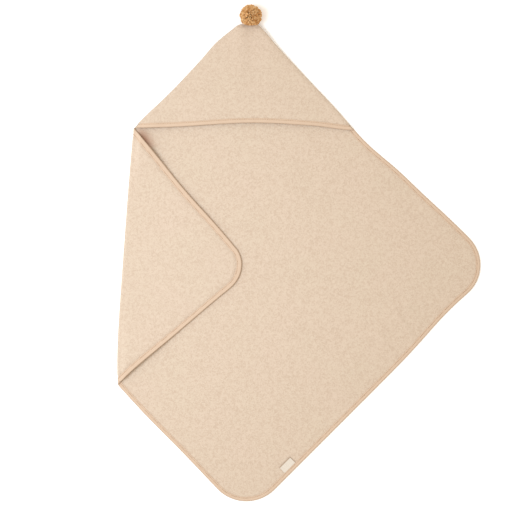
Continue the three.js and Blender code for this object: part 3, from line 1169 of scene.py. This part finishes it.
@dataclass
class TerryPiece:
    """A closed piece of terry, squashed in its strip, with uneven pile on the face that shows."""

    form: CapeForm
    measure: EdgeMeasure
    finish: bpy.types.Material
    name: str
    fine: float
    coarse: float
    rim_step: float
    tufts: Ripple
    clumps: Ripple
    squash_end: float
    squash_start: float
    squashed_under: float
    squashed_over: float = 0.0001
    edge_in_strip: float = 0.002
    rim_margin: float = 0.55
    tuft_height: float = 0.00018
    clump_height: float = 0.00010
    pile_start: tuple[float, float] = (0.008, 0.012)
    area: float = field(init=False)
    flat_points: Array = field(init=False)

    def rim(self) -> Array:
        """The rim's flat points, anticlockwise."""
        raise NotImplementedError

    def loose_points(self, face: Face) -> Array:
        """The flat points inside the rim for one face."""
        raise NotImplementedError

    def place(self, x: Array, y: Array, face: Face) -> Array:
        """Places one face's flat points in the row frame."""
        raise NotImplementedError

    def pile(self, x: Array, y: Array, from_strip: Array) -> Array:
        """The uneven height of the pile, which is held flat in the strip."""
        heights = self.tuft_height * self.tufts.at(x, y) + self.clump_height * self.clumps.at(x, y)
        return heights * ramp(from_strip, *self.pile_start)

    def squash(self, from_strip: Array) -> Array:
        """How far the cloth is squashed, from 0 to 1."""
        return 1 - ramp(from_strip, self.squash_end, self.squash_start)

    def build(self) -> bpy.types.Object:
        """Makes the closed cloth.

        Returns:
            The piece.
        """
        rim = self.rim()
        front, back = (Facing.fill(rim, self.loose_points(face)) for face in Face)
        places = [
            self.place(*facing.points.T, face) for facing, face in zip((front, back), Face)
        ]
        self.area = front.area
        self.flat_points = np.concatenate([front.points, back.points])
        return make_object(self.name, *close_wall(front, back, *places))


@dataclass
class TerrySquare(TerryPiece):
    """The square of terry: the bottom layer, the round fold and the folded corner in one."""

    name: str = "terry_square"
    fine: float = 0.0031
    coarse: float = 0.0120
    rim_step: float = 0.0035
    tufts: Ripple = Ripple(0.0042, 7)
    clumps: Ripple = Ripple(0.0110, 8)
    squash_end: float = 0.0095
    squash_start: float = 0.0155
    squashed_under: float = 0.0018
    bend_margin: float = 0.0050
    bend_length: float = 0.3
    bend_rim_margin: float = 0.0012
    outer_columns: int = 27
    inner_columns: int = 13
    shown_within: float = 0.01

    def rim(self) -> Array:
        """The rim's flat points, anticlockwise."""
        lengths = np.arange(self.form.cut.total, 0, -self.rim_step)
        return np.stack(self.form.cut.locate(lengths, self.edge_in_strip), axis=1)

    def loose_points(self, face: Face) -> Array:
        """The points inside the rim: close together where the face shows, and round the fold.

        Args:
            face: the face that they are for.

        Returns:
            Flat points.
        """
        half = self.form.cut.half_diagonal
        fold = self.form.fold
        band = fold.half_bend + self.bend_margin
        kept = []
        for spacing, shows in ((self.fine, True), (self.coarse, False)):
            points = hexagon_points((-half, -half), (half, half), spacing)
            u, _ = fold.to_fold(points[:, 0], points[:, 1])
            away = np.abs(u) > band + spacing / 2
            visible = (u > 0) if face is Face.FRONT else (u < 0)
            points = points[away & (visible == shows)]
            inside = self.measure.inside(points[:, 0], points[:, 1])
            kept.append(points[inside > self.edge_in_strip + spacing * self.rim_margin])
        columns = self.outer_columns if face is Face.BACK else self.inner_columns
        across = np.linspace(-band, band, columns)
        u, s = np.meshgrid(across, np.arange(-self.bend_length, self.bend_length, self.fine))
        x, y = fold.from_fold(u.ravel(), s.ravel())
        inside = self.measure.inside(x, y) > self.edge_in_strip + self.bend_rim_margin
        kept.append(np.stack([x[inside], y[inside]], axis=1))
        return np.concatenate(kept)

    def place(self, x: Array, y: Array, face: Face) -> Array:
        """Places one face's flat points in the row frame, with pile where the face shows.

        Args:
            x: places across the flat cloth.
            y: places along it, towards the hood's tip.
            face: the face that they are on.

        Returns:
            Points with x, y and z in their last axis.
        """
        inside = self.measure.inside(x, y)
        u, _ = self.form.fold.to_fold(x, y)
        pile, squash = self.pile(x, y, inside), self.squash(inside)
        band = self.form.fold.half_bend
        if face is Face.FRONT:
            pile = pile * ramp(u, band, band + self.shown_within)
            height = self.form.fold.terry - self.squashed_over * squash + pile
        else:
            height = self.squashed_under * squash - pile * (1 - ramp(u, -band, band))
        return self.form.on_square(x, y, height)

    def build(self) -> bpy.types.Object:
        """Makes the closed cloth, and stores where painted shade goes beside the fold's upper end.

        Returns:
            The piece.
        """
        made = super().build()
        # painted shade: its share beside the fold's upper end follows the tuck's ridge
        store(made, "tuck_shade_share", self.form.tucked(*self.flat_points.T) / self.form.tuck.height)
        return made

    def dress(self, made: bpy.types.Object) -> None:
        """Gives the piece its finish and its place in the frame.

        Args:
            made: the piece.
        """
        made.data.materials.append(self.finish)
        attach(made, "root")
        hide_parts("main_panel")


@dataclass
class Hood(TerryPiece):
    """The hood: a corner of terry sewn along its two sides over the square's top corner."""

    name: str = "hood_terry"
    fine: float = 0.0030
    coarse: float = 0.0080
    rim_step: float = 0.0032
    tufts: Ripple = Ripple(0.0042, 17)
    clumps: Ripple = Ripple(0.0110, 18)
    squash_end: float = 0.0075
    squash_start: float = 0.0140
    squashed_under: float = 0.0014
    seam_inset: float = 0.0005
    left: float = -0.2215
    right: float = 0.219
    roll: float = 0.0060
    roll_drop: float = 0.0026
    roll_shape: float = 0.8
    seam_pile: tuple[float, float] = (0.001, 0.006)
    swells: Ripple = Ripple(0.034, 19)
    swell_height: float = 0.0006
    seam_swell: tuple[float, float] = (0.01, 0.04)
    mouth_swell: tuple[float, float] = (0.01, 0.05)

    def rim(self) -> Array:
        """The rim's flat points, anticlockwise from the opening's left end.

        Returns:
            Flat points.
        """
        cut = self.form.cut
        across = np.linspace(self.left, self.right, round((self.right - self.left) / self.rim_step))
        mouth = np.stack([across, self.form.mouth(across) + self.edge_in_strip], axis=1)
        start = cut.find(Stretch.TIP_RIGHT, Stretch.UPPER_RIGHT, lambda x, y: x - self.right)
        stop = cut.find(Stretch.LEFT_CORNER, Stretch.UPPER_LEFT, lambda x, y: x - self.left)
        stop -= cut.total
        lengths = np.linspace(start, stop, round((start - stop) / self.rim_step))
        seam = np.stack(cut.locate(lengths, self.seam_inset), axis=1)
        return np.concatenate([mouth, seam])

    def loose_points(self, face: Face) -> Array:
        """The points inside the rim, closer together on the face that shows.

        Args:
            face: the face that they are for.

        Returns:
            Flat points.
        """
        spacing = self.fine if face is Face.FRONT else self.coarse
        top = self.form.cut.half_diagonal
        points = hexagon_points((self.left, self.form.mouth_level), (self.right, top), spacing)
        x, y = points.T
        margin = spacing * self.rim_margin
        inside = self.measure.inside(x, y) > self.seam_inset + margin
        above = y - self.form.mouth(x) > self.edge_in_strip + margin
        within = (x > self.left + spacing / 2) & (x < self.right - spacing / 2)
        return points[inside & above & within]

    def place(self, x: Array, y: Array, face: Face) -> Array:
        """Places one face's flat points in the row frame, with pile and swells on the front.

        Args:
            x: places across the flat cloth.
            y: places along it, towards the hood's tip.
            face: the face that they are on.

        Returns:
            Points with x, y and z in their last axis.
        """
        inside = self.measure.inside(x, y)
        from_mouth = y - self.form.mouth(x)
        squash = self.squash(from_mouth)
        if face is Face.BACK:
            height = self.squashed_under * squash
        else:
            bend = np.clip(inside / self.roll, 0, 1) ** self.roll_shape
            swell = self.swell_height * self.swells.at(x, y) * ramp(inside, *self.seam_swell)
            height = self.form.fold.terry - self.squashed_over * squash
            height = height - self.roll_drop * np.sqrt(1 - bend)
            height = height + self.pile(x, y, from_mouth) * ramp(inside, *self.seam_pile)
            height = height + swell * ramp(from_mouth, *self.mouth_swell)
        return self.form.on_hood(x, y, height, np.maximum(inside, 0))

    def dress(self, made: bpy.types.Object) -> None:
        """Gives the piece its finish and its place in the frame.

        Args:
            made: the piece.
        """
        made.data.materials.append(self.finish)
        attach(made, "root")
        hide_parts("hood_panel")


@dataclass
class StitchRow:
    """A row of stitches along a seam: short rounded threads laid end to end."""

    finish: bpy.types.Material
    pitch: float = 0.0036
    length: float = 0.0027
    thread: float = 0.00048
    sizes: tuple[float, float] = (0.85, 1.1)
    seed: int = 3

    def build(self, name: str, seam: Array) -> bpy.types.Object:
        """Makes the stitches along a line.

        Args:
            name: the piece's name.
            seam: the points that the thread's centre follows.

        Returns:
            The piece, a plain mesh.
        """
        made = make_object(name, seam, edges=[(i, i + 1) for i in range(len(seam) - 1)])
        recipe = NodeRecipe(name + "_recipe")
        given = recipe.take({
            "Pitch": self.pitch, "Length": self.length, "Thread": self.thread,
            "Finish": self.finish,
        })
        tree = recipe.tree
        line = add_node(tree, "GeometryNodeMeshToCurve", None, {0: given.outputs["Geometry"]})
        steps = add_node(tree, "GeometryNodeResampleCurve", {"mode": "LENGTH"}, {
            "Curve": line.outputs[0], "Length": given.outputs["Pitch"],
        })
        grain = add_node(tree, "GeometryNodeMeshUVSphere", None, {
            "Segments": 6, "Rings": 5, "Radius": 1.0,
        })
        half = add_node(tree, "ShaderNodeMath", {"operation": "MULTIPLY"}, {
            0: given.outputs["Length"], 1: 0.5,
        })
        size = add_node(tree, "ShaderNodeCombineXYZ", None, {
            0: given.outputs["Thread"], 1: given.outputs["Thread"], 2: half.outputs[0],
        })
        along = add_node(tree, "GeometryNodeInputTangent")
        turn = add_node(tree, "FunctionNodeAlignRotationToVector", {"axis": "Z"}, {
            "Vector": along.outputs[0],
        })
        spread = add_node(tree, "FunctionNodeRandomValue", {"data_type": "FLOAT"}, {
            2: self.sizes[0], 3: self.sizes[1], "Seed": self.seed,
        })
        scale = add_node(tree, "ShaderNodeVectorMath", {"operation": "SCALE"}, {
            0: size.outputs[0], "Scale": spread.outputs[1],
        })
        laid = add_node(tree, "GeometryNodeInstanceOnPoints", None, {
            "Points": steps.outputs[0], "Instance": grain.outputs[0],
            "Rotation": turn.outputs[0], "Scale": scale.outputs[0],
        })
        recipe.end(laid.outputs[0], given.outputs["Finish"])
        recipe.run(made)
        return made


@dataclass
class BiasStrip:
    """A bias strip folded round an edge, sewn near its inner edge, with a round nose."""

    form: CapeForm
    measure: EdgeMeasure
    finish: bpy.types.Material
    stitches: StitchRow
    name: str
    node: str
    width: float = 0.0090
    thickness: float = 0.0043
    wall: float = 0.0009
    stitch_inset: float = 0.0064
    groove: float = 0.00085
    groove_width: float = 0.0009
    inner_roll: float = 0.0006
    inner_roll_gap: float = 0.0010
    step: float = 0.0018
    nose_points: int = 9
    lip_places: tuple[float, ...] = (
        1.0, 0.94, 0.86, 0.78, 0.70, 0.62, 0.54, 0.46, 0.34, 0.16, 0.0
    )
    pucker: Ripple = Ripple(0.0065, 29)
    waver: Ripple = Ripple(0.0160, 30)
    pucker_height: float = 0.00045
    pucker_inset: float = 0.0040
    pucker_width: float = 0.0022
    hole_depth: float = 0.5
    waver_width: float = 0.00040
    waver_start: float = 0.0045
    ripple_row: float = 0.5
    thread_sink: float = 0.00005
    length: float = field(init=False)

    def lip(self, inset: Array, along: Array) -> Array:
        """How far a lip's outside lies below its crown, at each inset and place along the strip.

        Args:
            inset: distances inside the strip's outer edge.
            along: distances along the strip.

        Returns:
            The depths.
        """
        groove = self.groove * bell(inset - self.stitch_inset, self.groove_width)
        roll = self.inner_roll * ramp(inset, self.stitch_inset + self.inner_roll_gap, self.width)
        holes = 1 + self.hole_depth * np.cos(2 * math.pi * along / self.stitches.pitch)
        pucker = self.pucker.at(along, along * 0 + self.ripple_row)
        pucker = self.pucker_height * (1 + pucker) / 2
        return groove * holes + roll + pucker * bell(inset - self.pucker_inset, self.pucker_width)

    def section(self, along: Array) -> tuple[Array, Array]:
        """The strip's closed section at each place along it.

        Args:
            along: distances along the strip.

        Returns:
            Insets and heights, one row for each place, from the lower lip's inner edge round the
            nose to the upper lip's, and back along the inside.
        """
        nose = self.thickness / 2
        insets = nose + np.array(self.lip_places) * (self.width - nose)
        turn = np.radians(np.linspace(-90, -270, self.nose_points + 2)[1:-1])
        column = along[:, None]
        waver = self.waver_width * self.waver.at(column, column * 0 + self.ripple_row)
        rows = insets + waver * ramp(insets, self.waver_start, self.width)
        lip = self.lip(insets[None, :], column)
        ones = np.ones_like(column)

        def side(depth: float) -> tuple[Array, Array]:
            """One side of the strip's cloth from lip to lip, at a depth inside its outside."""
            bend = nose - depth
            reach = [rows, ones * (nose + bend * np.cos(turn)), rows[:, ::-1]]
            upper = self.thickness - depth - lip[:, ::-1]
            height = [depth + lip, ones * (nose + bend * np.sin(turn)), upper]
            return np.concatenate(reach, axis=1), np.concatenate(height, axis=1)

        pairs = zip(side(0.0), side(self.wall))
        return tuple(np.concatenate([out, within[:, ::-1]], axis=1) for out, within in pairs)

    def stations(self) -> Array:
        """Places along the strip, two for each stitch and closer together round the fold."""
        raise NotImplementedError

    def locate(self, along: Array, inset: Array, height: Array) -> Array:
        """Places points of the strip in the row frame."""
        raise NotImplementedError

    def stitch_heights(self, along: Array) -> Array:
        """The height of the stitches' centres, on the face of the strip that shows."""
        return np.full_like(along, self.thickness - self.groove - self.thread_sink)

    def sweep(self) -> bpy.types.Object:
        """Sweeps the section along the stations into a closed strip.

        Returns:
            The strip.
        """
        stations = self.stations()
        insets, heights = self.section(stations)
        points = self.locate(stations[:, None], insets, heights)
        # the second number is 0 along the nose, where the strip's painted shade sits
        round_it = np.where(heights > self.thickness / 2, insets, -insets)
        places = np.stack([np.broadcast_to(stations[:, None], insets.shape), round_it], axis=-1)
        faces, places = tube_faces(*insets.shape), {"strip": places.reshape(-1, 2)}
        steps = np.linalg.norm(np.diff(points[:, 0], axis=0), axis=1)
        self.length = float(steps.sum())
        return make_object(self.name, points.reshape(-1, 3), faces, places=places)

    def build(self) -> tuple[bpy.types.Object, bpy.types.Object]:
        """Makes the strip and its row of stitches.

        Returns:
            The strip and its stitches.
        """
        made = self.sweep()
        stations = self.stations()
        inset = np.full_like(stations, self.stitch_inset)
        seam = self.locate(stations, inset, self.stitch_heights(stations))
        return made, self.stitches.build(self.name + "_stitches", seam)

    def dress(self, made: bpy.types.Object, row: bpy.types.Object) -> None:
        """Gives the strip its finish and its place in the frame.

        Args:
            made: the strip.
            row: its stitches.
        """
        made.data.materials.append(self.finish)
        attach(made, "root")
        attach(row, "root")
        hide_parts(self.node)


@dataclass
class EdgeStrip(BiasStrip):
    """A stretch of the strip that goes round the square's own edge."""

    start: float = 0.0
    stop: float = 0.0
    upside_down: bool = False
    bend_step: float = 0.0007
    bend_reach: float = 0.012
    step_share: float = 0.999

    def stations(self) -> Array:
        """Places along the outline, closer together where it passes round the fold.

        Returns:
            Distances along the outline.
        """
        fine = np.arange(self.start, self.stop, self.bend_step)
        u, _ = self.form.fold.to_fold(*self.form.cut.locate(fine, 0.0))
        near = np.abs(u) < self.bend_reach
        plain = np.abs(np.mod(fine - self.start, self.step)) < self.bend_step * self.step_share
        kept = fine[near | plain]
        return np.concatenate([kept[kept < self.stop - self.bend_step], [self.stop]])

    def locate(self, along: Array, inset: Array, height: Array) -> Array:
        """Places points of the strip in the row frame."""
        return self.form.on_square(*self.form.cut.locate(along, inset), height)

    def stitch_heights(self, along: Array) -> Array:
        """The stitches lie on the face that shows, which changes at the fold."""
        above = super().stitch_heights(along)
        return self.thickness - above if self.upside_down else above


@dataclass
class MouthStrip(BiasStrip):
    """The strip on the hood's opening, whose ends lean to follow the side seams."""

    left: float = -0.2268
    right: float = 0.2205
    end_lean: float = 0.040

    def stations(self) -> Array:
        """Places across the cape, right to left."""
        return np.arange(self.right, self.left, -self.step)

    def locate(self, along: Array, inset: Array, height: Array) -> Array:
        """Places points of the strip in the row frame.

        Args:
            along: places across the cape.
            inset: distances inside the opening's edge.
            height: heights above the hood's underside.

        Returns:
            Points with x, y and z in their last axis.
        """
        lean = ramp(along, self.right - self.end_lean, self.right)
        lean = lean - ramp(-along, -self.left - self.end_lean, -self.left)
        x = along - lean * inset
        y = self.form.mouth(x) + inset
        x, y, height = np.broadcast_arrays(x, y, height)
        inside = np.maximum(self.measure.inside(x, y), 0)
        return self.form.on_hood(x, y, height, inside)


@dataclass
class Pompom:
    """A pompom of cut yarn, sewn to the hood's tip: strands that spring from its middle in tufts."""

    form: CapeForm
    name: str = "yarn_pompom"
    radius: float = 0.0240
    flat_depth: float = 0.0170
    shift: tuple[float, float] = (0.0010, -0.0013)
    strands: int = 4200
    tufts: int = 520
    tufting: float = 0.44
    strand: float = 0.00078
    root: float = 0.00026
    core: float = 0.30
    shortest: float = 0.87
    lean_from: float = 0.014
    lean: float = 0.24
    floor_gap: float = 0.0002
    strand_shake: float = 0.020
    tuft_shake: float = 0.070
    strand_trim: float = 0.95
    shade: tuple[float, float, float] = (0.5, 0.3, 0.2)
    curl_pitch: float = 3.0 * MM
    curl: float = 0.0025
    seed: int = 5

    @property
    def centre(self) -> tuple[float, float, float]:
        """The ball's centre in the row frame.

        Returns:
            Its x, y and z.
        """
        (x, y), middle = self.form.tip, self.form.centre
        y = y + self.flat_depth
        return x + middle[0] + self.shift[0], y + middle[1] + self.shift[1], self.radius

    def directions(self, count: int, shake: float, random: np.random.Generator) -> Array:
        """Unit directions spread evenly over a ball, each a little shaken.

        Args:
            count: how many.
            shake: how far each is shaken.
            random: the source of the shakes.

        Returns:
            The directions, one row each.
        """
        place = np.arange(count) + 0.5
        turn, z = math.pi * (1 + math.sqrt(5)) * place, 1 - 2 * place / count
        flat = np.sqrt(1 - z**2)
        ways = np.stack([flat * np.cos(turn), flat * np.sin(turn), z], axis=1)
        ways = ways + random.normal(0, shake, ways.shape)
        return ways / np.linalg.norm(ways, axis=1, keepdims=True)

    def plan(self) -> bpy.types.Object:
        """Makes a vertex at each strand's root, with the strand's reach and shade as attributes.

        Returns:
            The piece, with no faces yet.
        """
        random = np.random.default_rng(self.seed)
        ways = self.directions(self.strands, self.strand_shake, random)
        tufts = self.directions(self.tufts, self.tuft_shake, random)
        tuft = np.argmax(ways @ tufts.T, axis=1)
        tips = ways * (1 - self.tufting) + tufts[tuft] * self.tufting
        tips /= np.linalg.norm(tips, axis=1, keepdims=True)
        trim = random.uniform(self.shortest, 1, self.tufts)[tuft]
        trim = trim * random.uniform(self.strand_trim, 1, self.strands)
        roots = ways * self.radius * self.core
        middle, by_tuft, by_strand = self.shade
        shade = middle + by_tuft * random.normal(size=self.tufts)[tuft]
        shade = shade + by_strand * random.normal(size=self.strands)
        made = make_object(self.name, roots + np.array(self.centre))
        store(made, "reach", tips * self.radius * trim[:, None] - roots)
        store(made, "shade", np.clip(shade, 0, 1))
        return made

    def build(self) -> bpy.types.Object:
        """Makes the strands.

        Returns:
            The piece, a plain mesh.
        """
        made = self.plan()
        finish = YarnFinish("cut_wool_yarn", centre=self.centre, radius=self.radius).make()
        recipe = NodeRecipe(self.name + "_recipe")
        given = recipe.take({"Strand": self.strand, "Root": self.root, "Finish": finish})
        tree = recipe.tree
        reach = add_node(tree, "GeometryNodeInputNamedAttribute", {"data_type": "FLOAT_VECTOR"}, {
            "Name": "reach",
        })
        length = add_node(tree, "ShaderNodeVectorMath", {"operation": "LENGTH"}, {0: reach.outputs[0]})
        turn = add_node(tree, "FunctionNodeAlignRotationToVector", {"axis": "Z"}, {
            "Vector": reach.outputs[0],
        })
        strand = add_node(tree, "GeometryNodeMeshCone", {"fill_type": "TRIANGLE_FAN"}, {
            "Vertices": 4, "Side Segments": 3, "Fill Segments": 1,
            "Radius Top": given.outputs["Strand"], "Radius Bottom": given.outputs["Root"],
            "Depth": 1.0,
        })
        size = add_node(tree, "ShaderNodeCombineXYZ", None, {0: 1.0, 1: 1.0, 2: length.outputs["Value"]})
        laid = add_node(tree, "GeometryNodeInstanceOnPoints", None, {
            "Points": given.outputs["Geometry"], "Instance": strand.outputs[0],
            "Rotation": turn.outputs[0], "Scale": size.outputs[0],
        })
        real = add_node(tree, "GeometryNodeRealizeInstances", None, {0: laid.outputs[0]})
        fuzz = add_node(tree, "ShaderNodeTexNoise", None, {
            "Scale": 1 / self.curl_pitch, "Detail": 1.0,
        })
        centred = add_node(tree, "ShaderNodeVectorMath", {"operation": "SUBTRACT"}, {
            0: fuzz.outputs["Color"], 1: (0.5, 0.5, 0.5),
        })
        curl = add_node(tree, "ShaderNodeVectorMath", {"operation": "SCALE"}, {
            0: centred.outputs[0], "Scale": self.curl,
        })
        curled = add_node(tree, "GeometryNodeSetPosition", None, {
            "Geometry": real.outputs[0], "Offset": curl.outputs[0],
        })
        recipe.end(curled.outputs[0], given.outputs["Finish"])
        recipe.run(made)
        self.press(made.data)
        return made

    def press(self, mesh: bpy.types.Mesh) -> None:
        """Presses the ball against the floor and the hood's tip, over which it leans a little.

        Args:
            mesh: the ball's mesh, whose points are moved.
        """
        points = np.empty(len(mesh.vertices) * 3, np.float32)
        mesh.vertices.foreach_get("co", points)
        x, y, z = points.reshape(-1, 3).T
        back = self.form.tip[1] + self.form.centre[1]
        y = np.maximum(y, back - self.lean * np.maximum(z - self.lean_from, 0))
        points = np.stack([x, y, np.maximum(z, self.floor_gap)], axis=1)
        mesh.vertices.foreach_set("co", points.ravel())
        mesh.update()

    def dress(self, made: bpy.types.Object) -> None:
        """Gives the piece its place in the frame.

        Args:
            made: the piece.
        """
        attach(made, "root")
        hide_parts("pompom")


@dataclass
class Tag:
    """A blank tag of woven tape, folded in half and sewn in beside the edge strip."""

    form: CapeForm
    finish: bpy.types.Material
    name: str = "blank_tag"
    edge_x: float = 0.097
    length: float = 0.0310
    reach: float = 0.0158
    thickness: float = 0.0009
    inset: float = 0.0088
    under: float = 0.0031
    lift: float = 0.0012
    curl: float = 0.0003
    steps: int = 22
    side_step: float = 0.0009
    fold_points: int = 5
    groove: Spot = Spot(0.0016, 0.0, 0.22, 0.0006)
    droop: float = 1.7
    curl_waves: tuple[float, float] = (9.0, 2.0)
    firmness: float = 0.25
    firm_sides: tuple[float, float] = (0.93, 0.99)

    def build(self) -> bpy.types.Object:
        """Makes the tape: two layers, joined by a round fold at the free end.

        Returns:
            The piece.
        """
        cut = self.form.cut
        limits = Stretch.RIGHT_CORNER, Stretch.LOWER_RIGHT
        middle = cut.find(*limits, lambda x, y: x - self.edge_x)
        across = np.linspace(0, self.reach, self.steps)
        half = self.thickness / 2
        turn = np.radians(np.linspace(-90, 90, self.fold_points + 2))[1:-1]
        groove = half * self.groove.at(across, 0.0)
        insets = np.concatenate([across, self.reach + half * np.cos(turn), across[::-1]])
        heights = np.concatenate([-half + across * 0, half * np.sin(turn), (half - groove)[::-1]])
        column = np.linspace(
            self.length / 2, -self.length / 2, round(self.length / self.side_step)
        )[:, None]
        side = np.abs(column) / (self.length / 2)
        share = np.clip(insets / self.reach, 0, 1)
        centre = self.under + half + self.lift * share**self.droop
        waves, lag = self.curl_waves
        curl = self.curl * share * np.sin(waves * side**2 + lag * np.sign(column))
        firm = 1 + self.firmness * ramp(side, *self.firm_sides)
        x, y = cut.locate(middle + column, self.inset + insets)
        points = self.form.on_square(x, y, centre + curl + heights * firm)
        places = np.stack(np.broadcast_arrays(column, insets + heights), axis=-1)
        faces, places = tube_faces(*x.shape)[:, ::-1], {"tape": places.reshape(-1, 2)}
        return make_object(self.name, points.reshape(-1, 3), faces, places=places)

    def dress(self, made: bpy.types.Object) -> None:
        """Gives the piece its finish and its place in the frame.

        Args:
            made: the piece.
        """
        made.data.materials.append(self.finish)
        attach(made, "root")
        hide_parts("label")


# ---- The studio ----


@dataclass
class Studio:
    """A plain pale floor, soft light from the upper left, and a camera that looks straight down."""

    floor_side: float = 60.0
    floor_drop: float = 0.0002
    field: float = 1.0357
    aim: tuple[float, float] = (-0.0952, 0.0004)
    height: float = 9.0
    lamp_at: tuple[float, float, float] = (-1.20, 0.10, 1.93)
    lamp_aim: tuple[float, float, float] = (-0.385, -0.043, 0.0)
    lamp_side: float = 1.2
    lamp_spread: float = math.radians(78)
    lamp_power: float = 8.2
    lamp_tint: str = "#dcebff"
    sky: str = "#fff7eb"
    sky_strength: float = 0.94
    sensor: float = 36.0

    def build(self) -> None:
        """Makes the floor, the light, the surroundings and the camera."""
        half = self.floor_side / 2
        corners = [(-half, -half), (half, -half), (half, half), (-half, half)]
        floor = make_object(
            "floor", np.array([(x, y, -self.floor_drop) for x, y in corners]), [(0, 1, 2, 3)]
        )
        floor.data.materials.append(FloorFinish("pale_floor_paint").make())
        scene = bpy.context.scene
        lamp = bpy.data.lights.new("soft_box", "AREA")
        lamp.energy, lamp.size, lamp.spread = self.lamp_power, self.lamp_side, self.lamp_spread
        lamp.color = linear(self.lamp_tint)[:3]
        soft_box = bpy.data.objects.new("soft_box", lamp)
        scene.collection.objects.link(soft_box)
        soft_box.location = self.lamp_at
        way = Vector(self.lamp_aim) - Vector(self.lamp_at)
        soft_box.rotation_euler = way.to_track_quat("-Z", "Y").to_euler()
        world = bpy.data.worlds.new("pale_surroundings")
        world.use_nodes = True
        world.node_tree.nodes.clear()
        glow = add_node(world.node_tree, "ShaderNodeBackground", None, {
            "Color": linear(self.sky), "Strength": self.sky_strength,
        })
        add_node(world.node_tree, "ShaderNodeOutputWorld", None, {0: glow.outputs[0]})
        scene.world = world
        lens = bpy.data.cameras.new("overhead")
        lens.sensor_width = self.sensor
        lens.lens = self.sensor * self.height / self.field
        camera = bpy.data.objects.new("overhead", lens)
        scene.collection.objects.link(camera)
        camera.location = (*self.aim, self.height)
        scene.camera = camera
        scene.view_settings.view_transform = "Standard"
        scene.view_settings.look = "None"


def flap_limits(form: CapeForm) -> tuple[float, float, float]:
    """Finds where the strip's stretches start, part and stop along the outline.

    Args:
        form: the cape's form.

    Returns:
        The starts of the open edge's strip and of the folded corner's, and the latter's end.
    """
    cut, fold = form.cut, form.fold
    under_hood, past_bend, short_of_middle = 0.006, 0.001, fold.half_bend / 4
    start = cut.find(Stretch.TIP_RIGHT, Stretch.UPPER_RIGHT, lambda x, y: y - form.mouth(x))

    def crossing(first: Stretch, second: Stretch, beyond: float) -> float:
        """Where the outline crosses a line beside the middle of the fold."""
        return cut.find(first, second, lambda x, y: fold.to_fold(x, y)[0] + beyond)

    part = crossing(Stretch.BOTTOM_CORNER, Stretch.LOWER_LEFT, fold.half_bend + past_bend)
    stop = crossing(Stretch.LEFT_CORNER, Stretch.UPPER_LEFT, short_of_middle)
    return start - under_hood, part, stop


def main() -> None:
    """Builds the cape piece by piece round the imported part, and the studio that shows it."""
    logging.basicConfig(level=logging.INFO, format="%(name)s: %(message)s")
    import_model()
    form = CapeForm.fitted()
    measure = EdgeMeasure(form.cut)
    terry = TerryFinish("cotton_terry_pile").make()
    cotton = StripFinish("bias_cut_cotton").make()
    stitches = StitchRow(ThreadFinish("sewing_thread").make())
    Studio().build()
    start, part, stop = flap_limits(form)
    shared = form, measure, cotton, stitches
    gap = 0.0001
    cloths = [TerrySquare(form, measure, terry), Hood(form, measure, terry)]
    strips = [
        EdgeStrip(*shared, "edge_strip", "binding_edge", start=start, stop=part - gap),
        EdgeStrip(
            *shared, "flap_strip", "binding_flap", start=part + gap, stop=stop, upside_down=True,
            width=0.0103, stitch_inset=0.0078, groove=0.0012, groove_width=0.0010,
        ),
        MouthStrip(*shared, "hood_strip", "binding_hood", width=0.0099, stitch_inset=0.0076),
    ]
    for cloth in cloths:
        made = cloth.build()
        cloth.dress(made)
        LOG.info("%s: %d faces, %.4f m2 flat", made.name, len(made.data.polygons), cloth.area)
    for strip in strips:
        made, row = strip.build()
        strip.dress(made, row)
        LOG.info("%s: %d faces, %.3f m long", made.name, len(made.data.polygons), strip.length)
    pompom = Pompom(form)
    ball = pompom.build()
    pompom.dress(ball)
    LOG.info("%s: %d faces", ball.name, len(ball.data.polygons))
    tag = Tag(form, TapeFinish("woven_cotton_tape").make())
    tape = tag.build()
    tag.dress(tape)
    LOG.info("%s: %d faces", tape.name, len(tape.data.polygons))


if __name__ == "__main__":
    main()
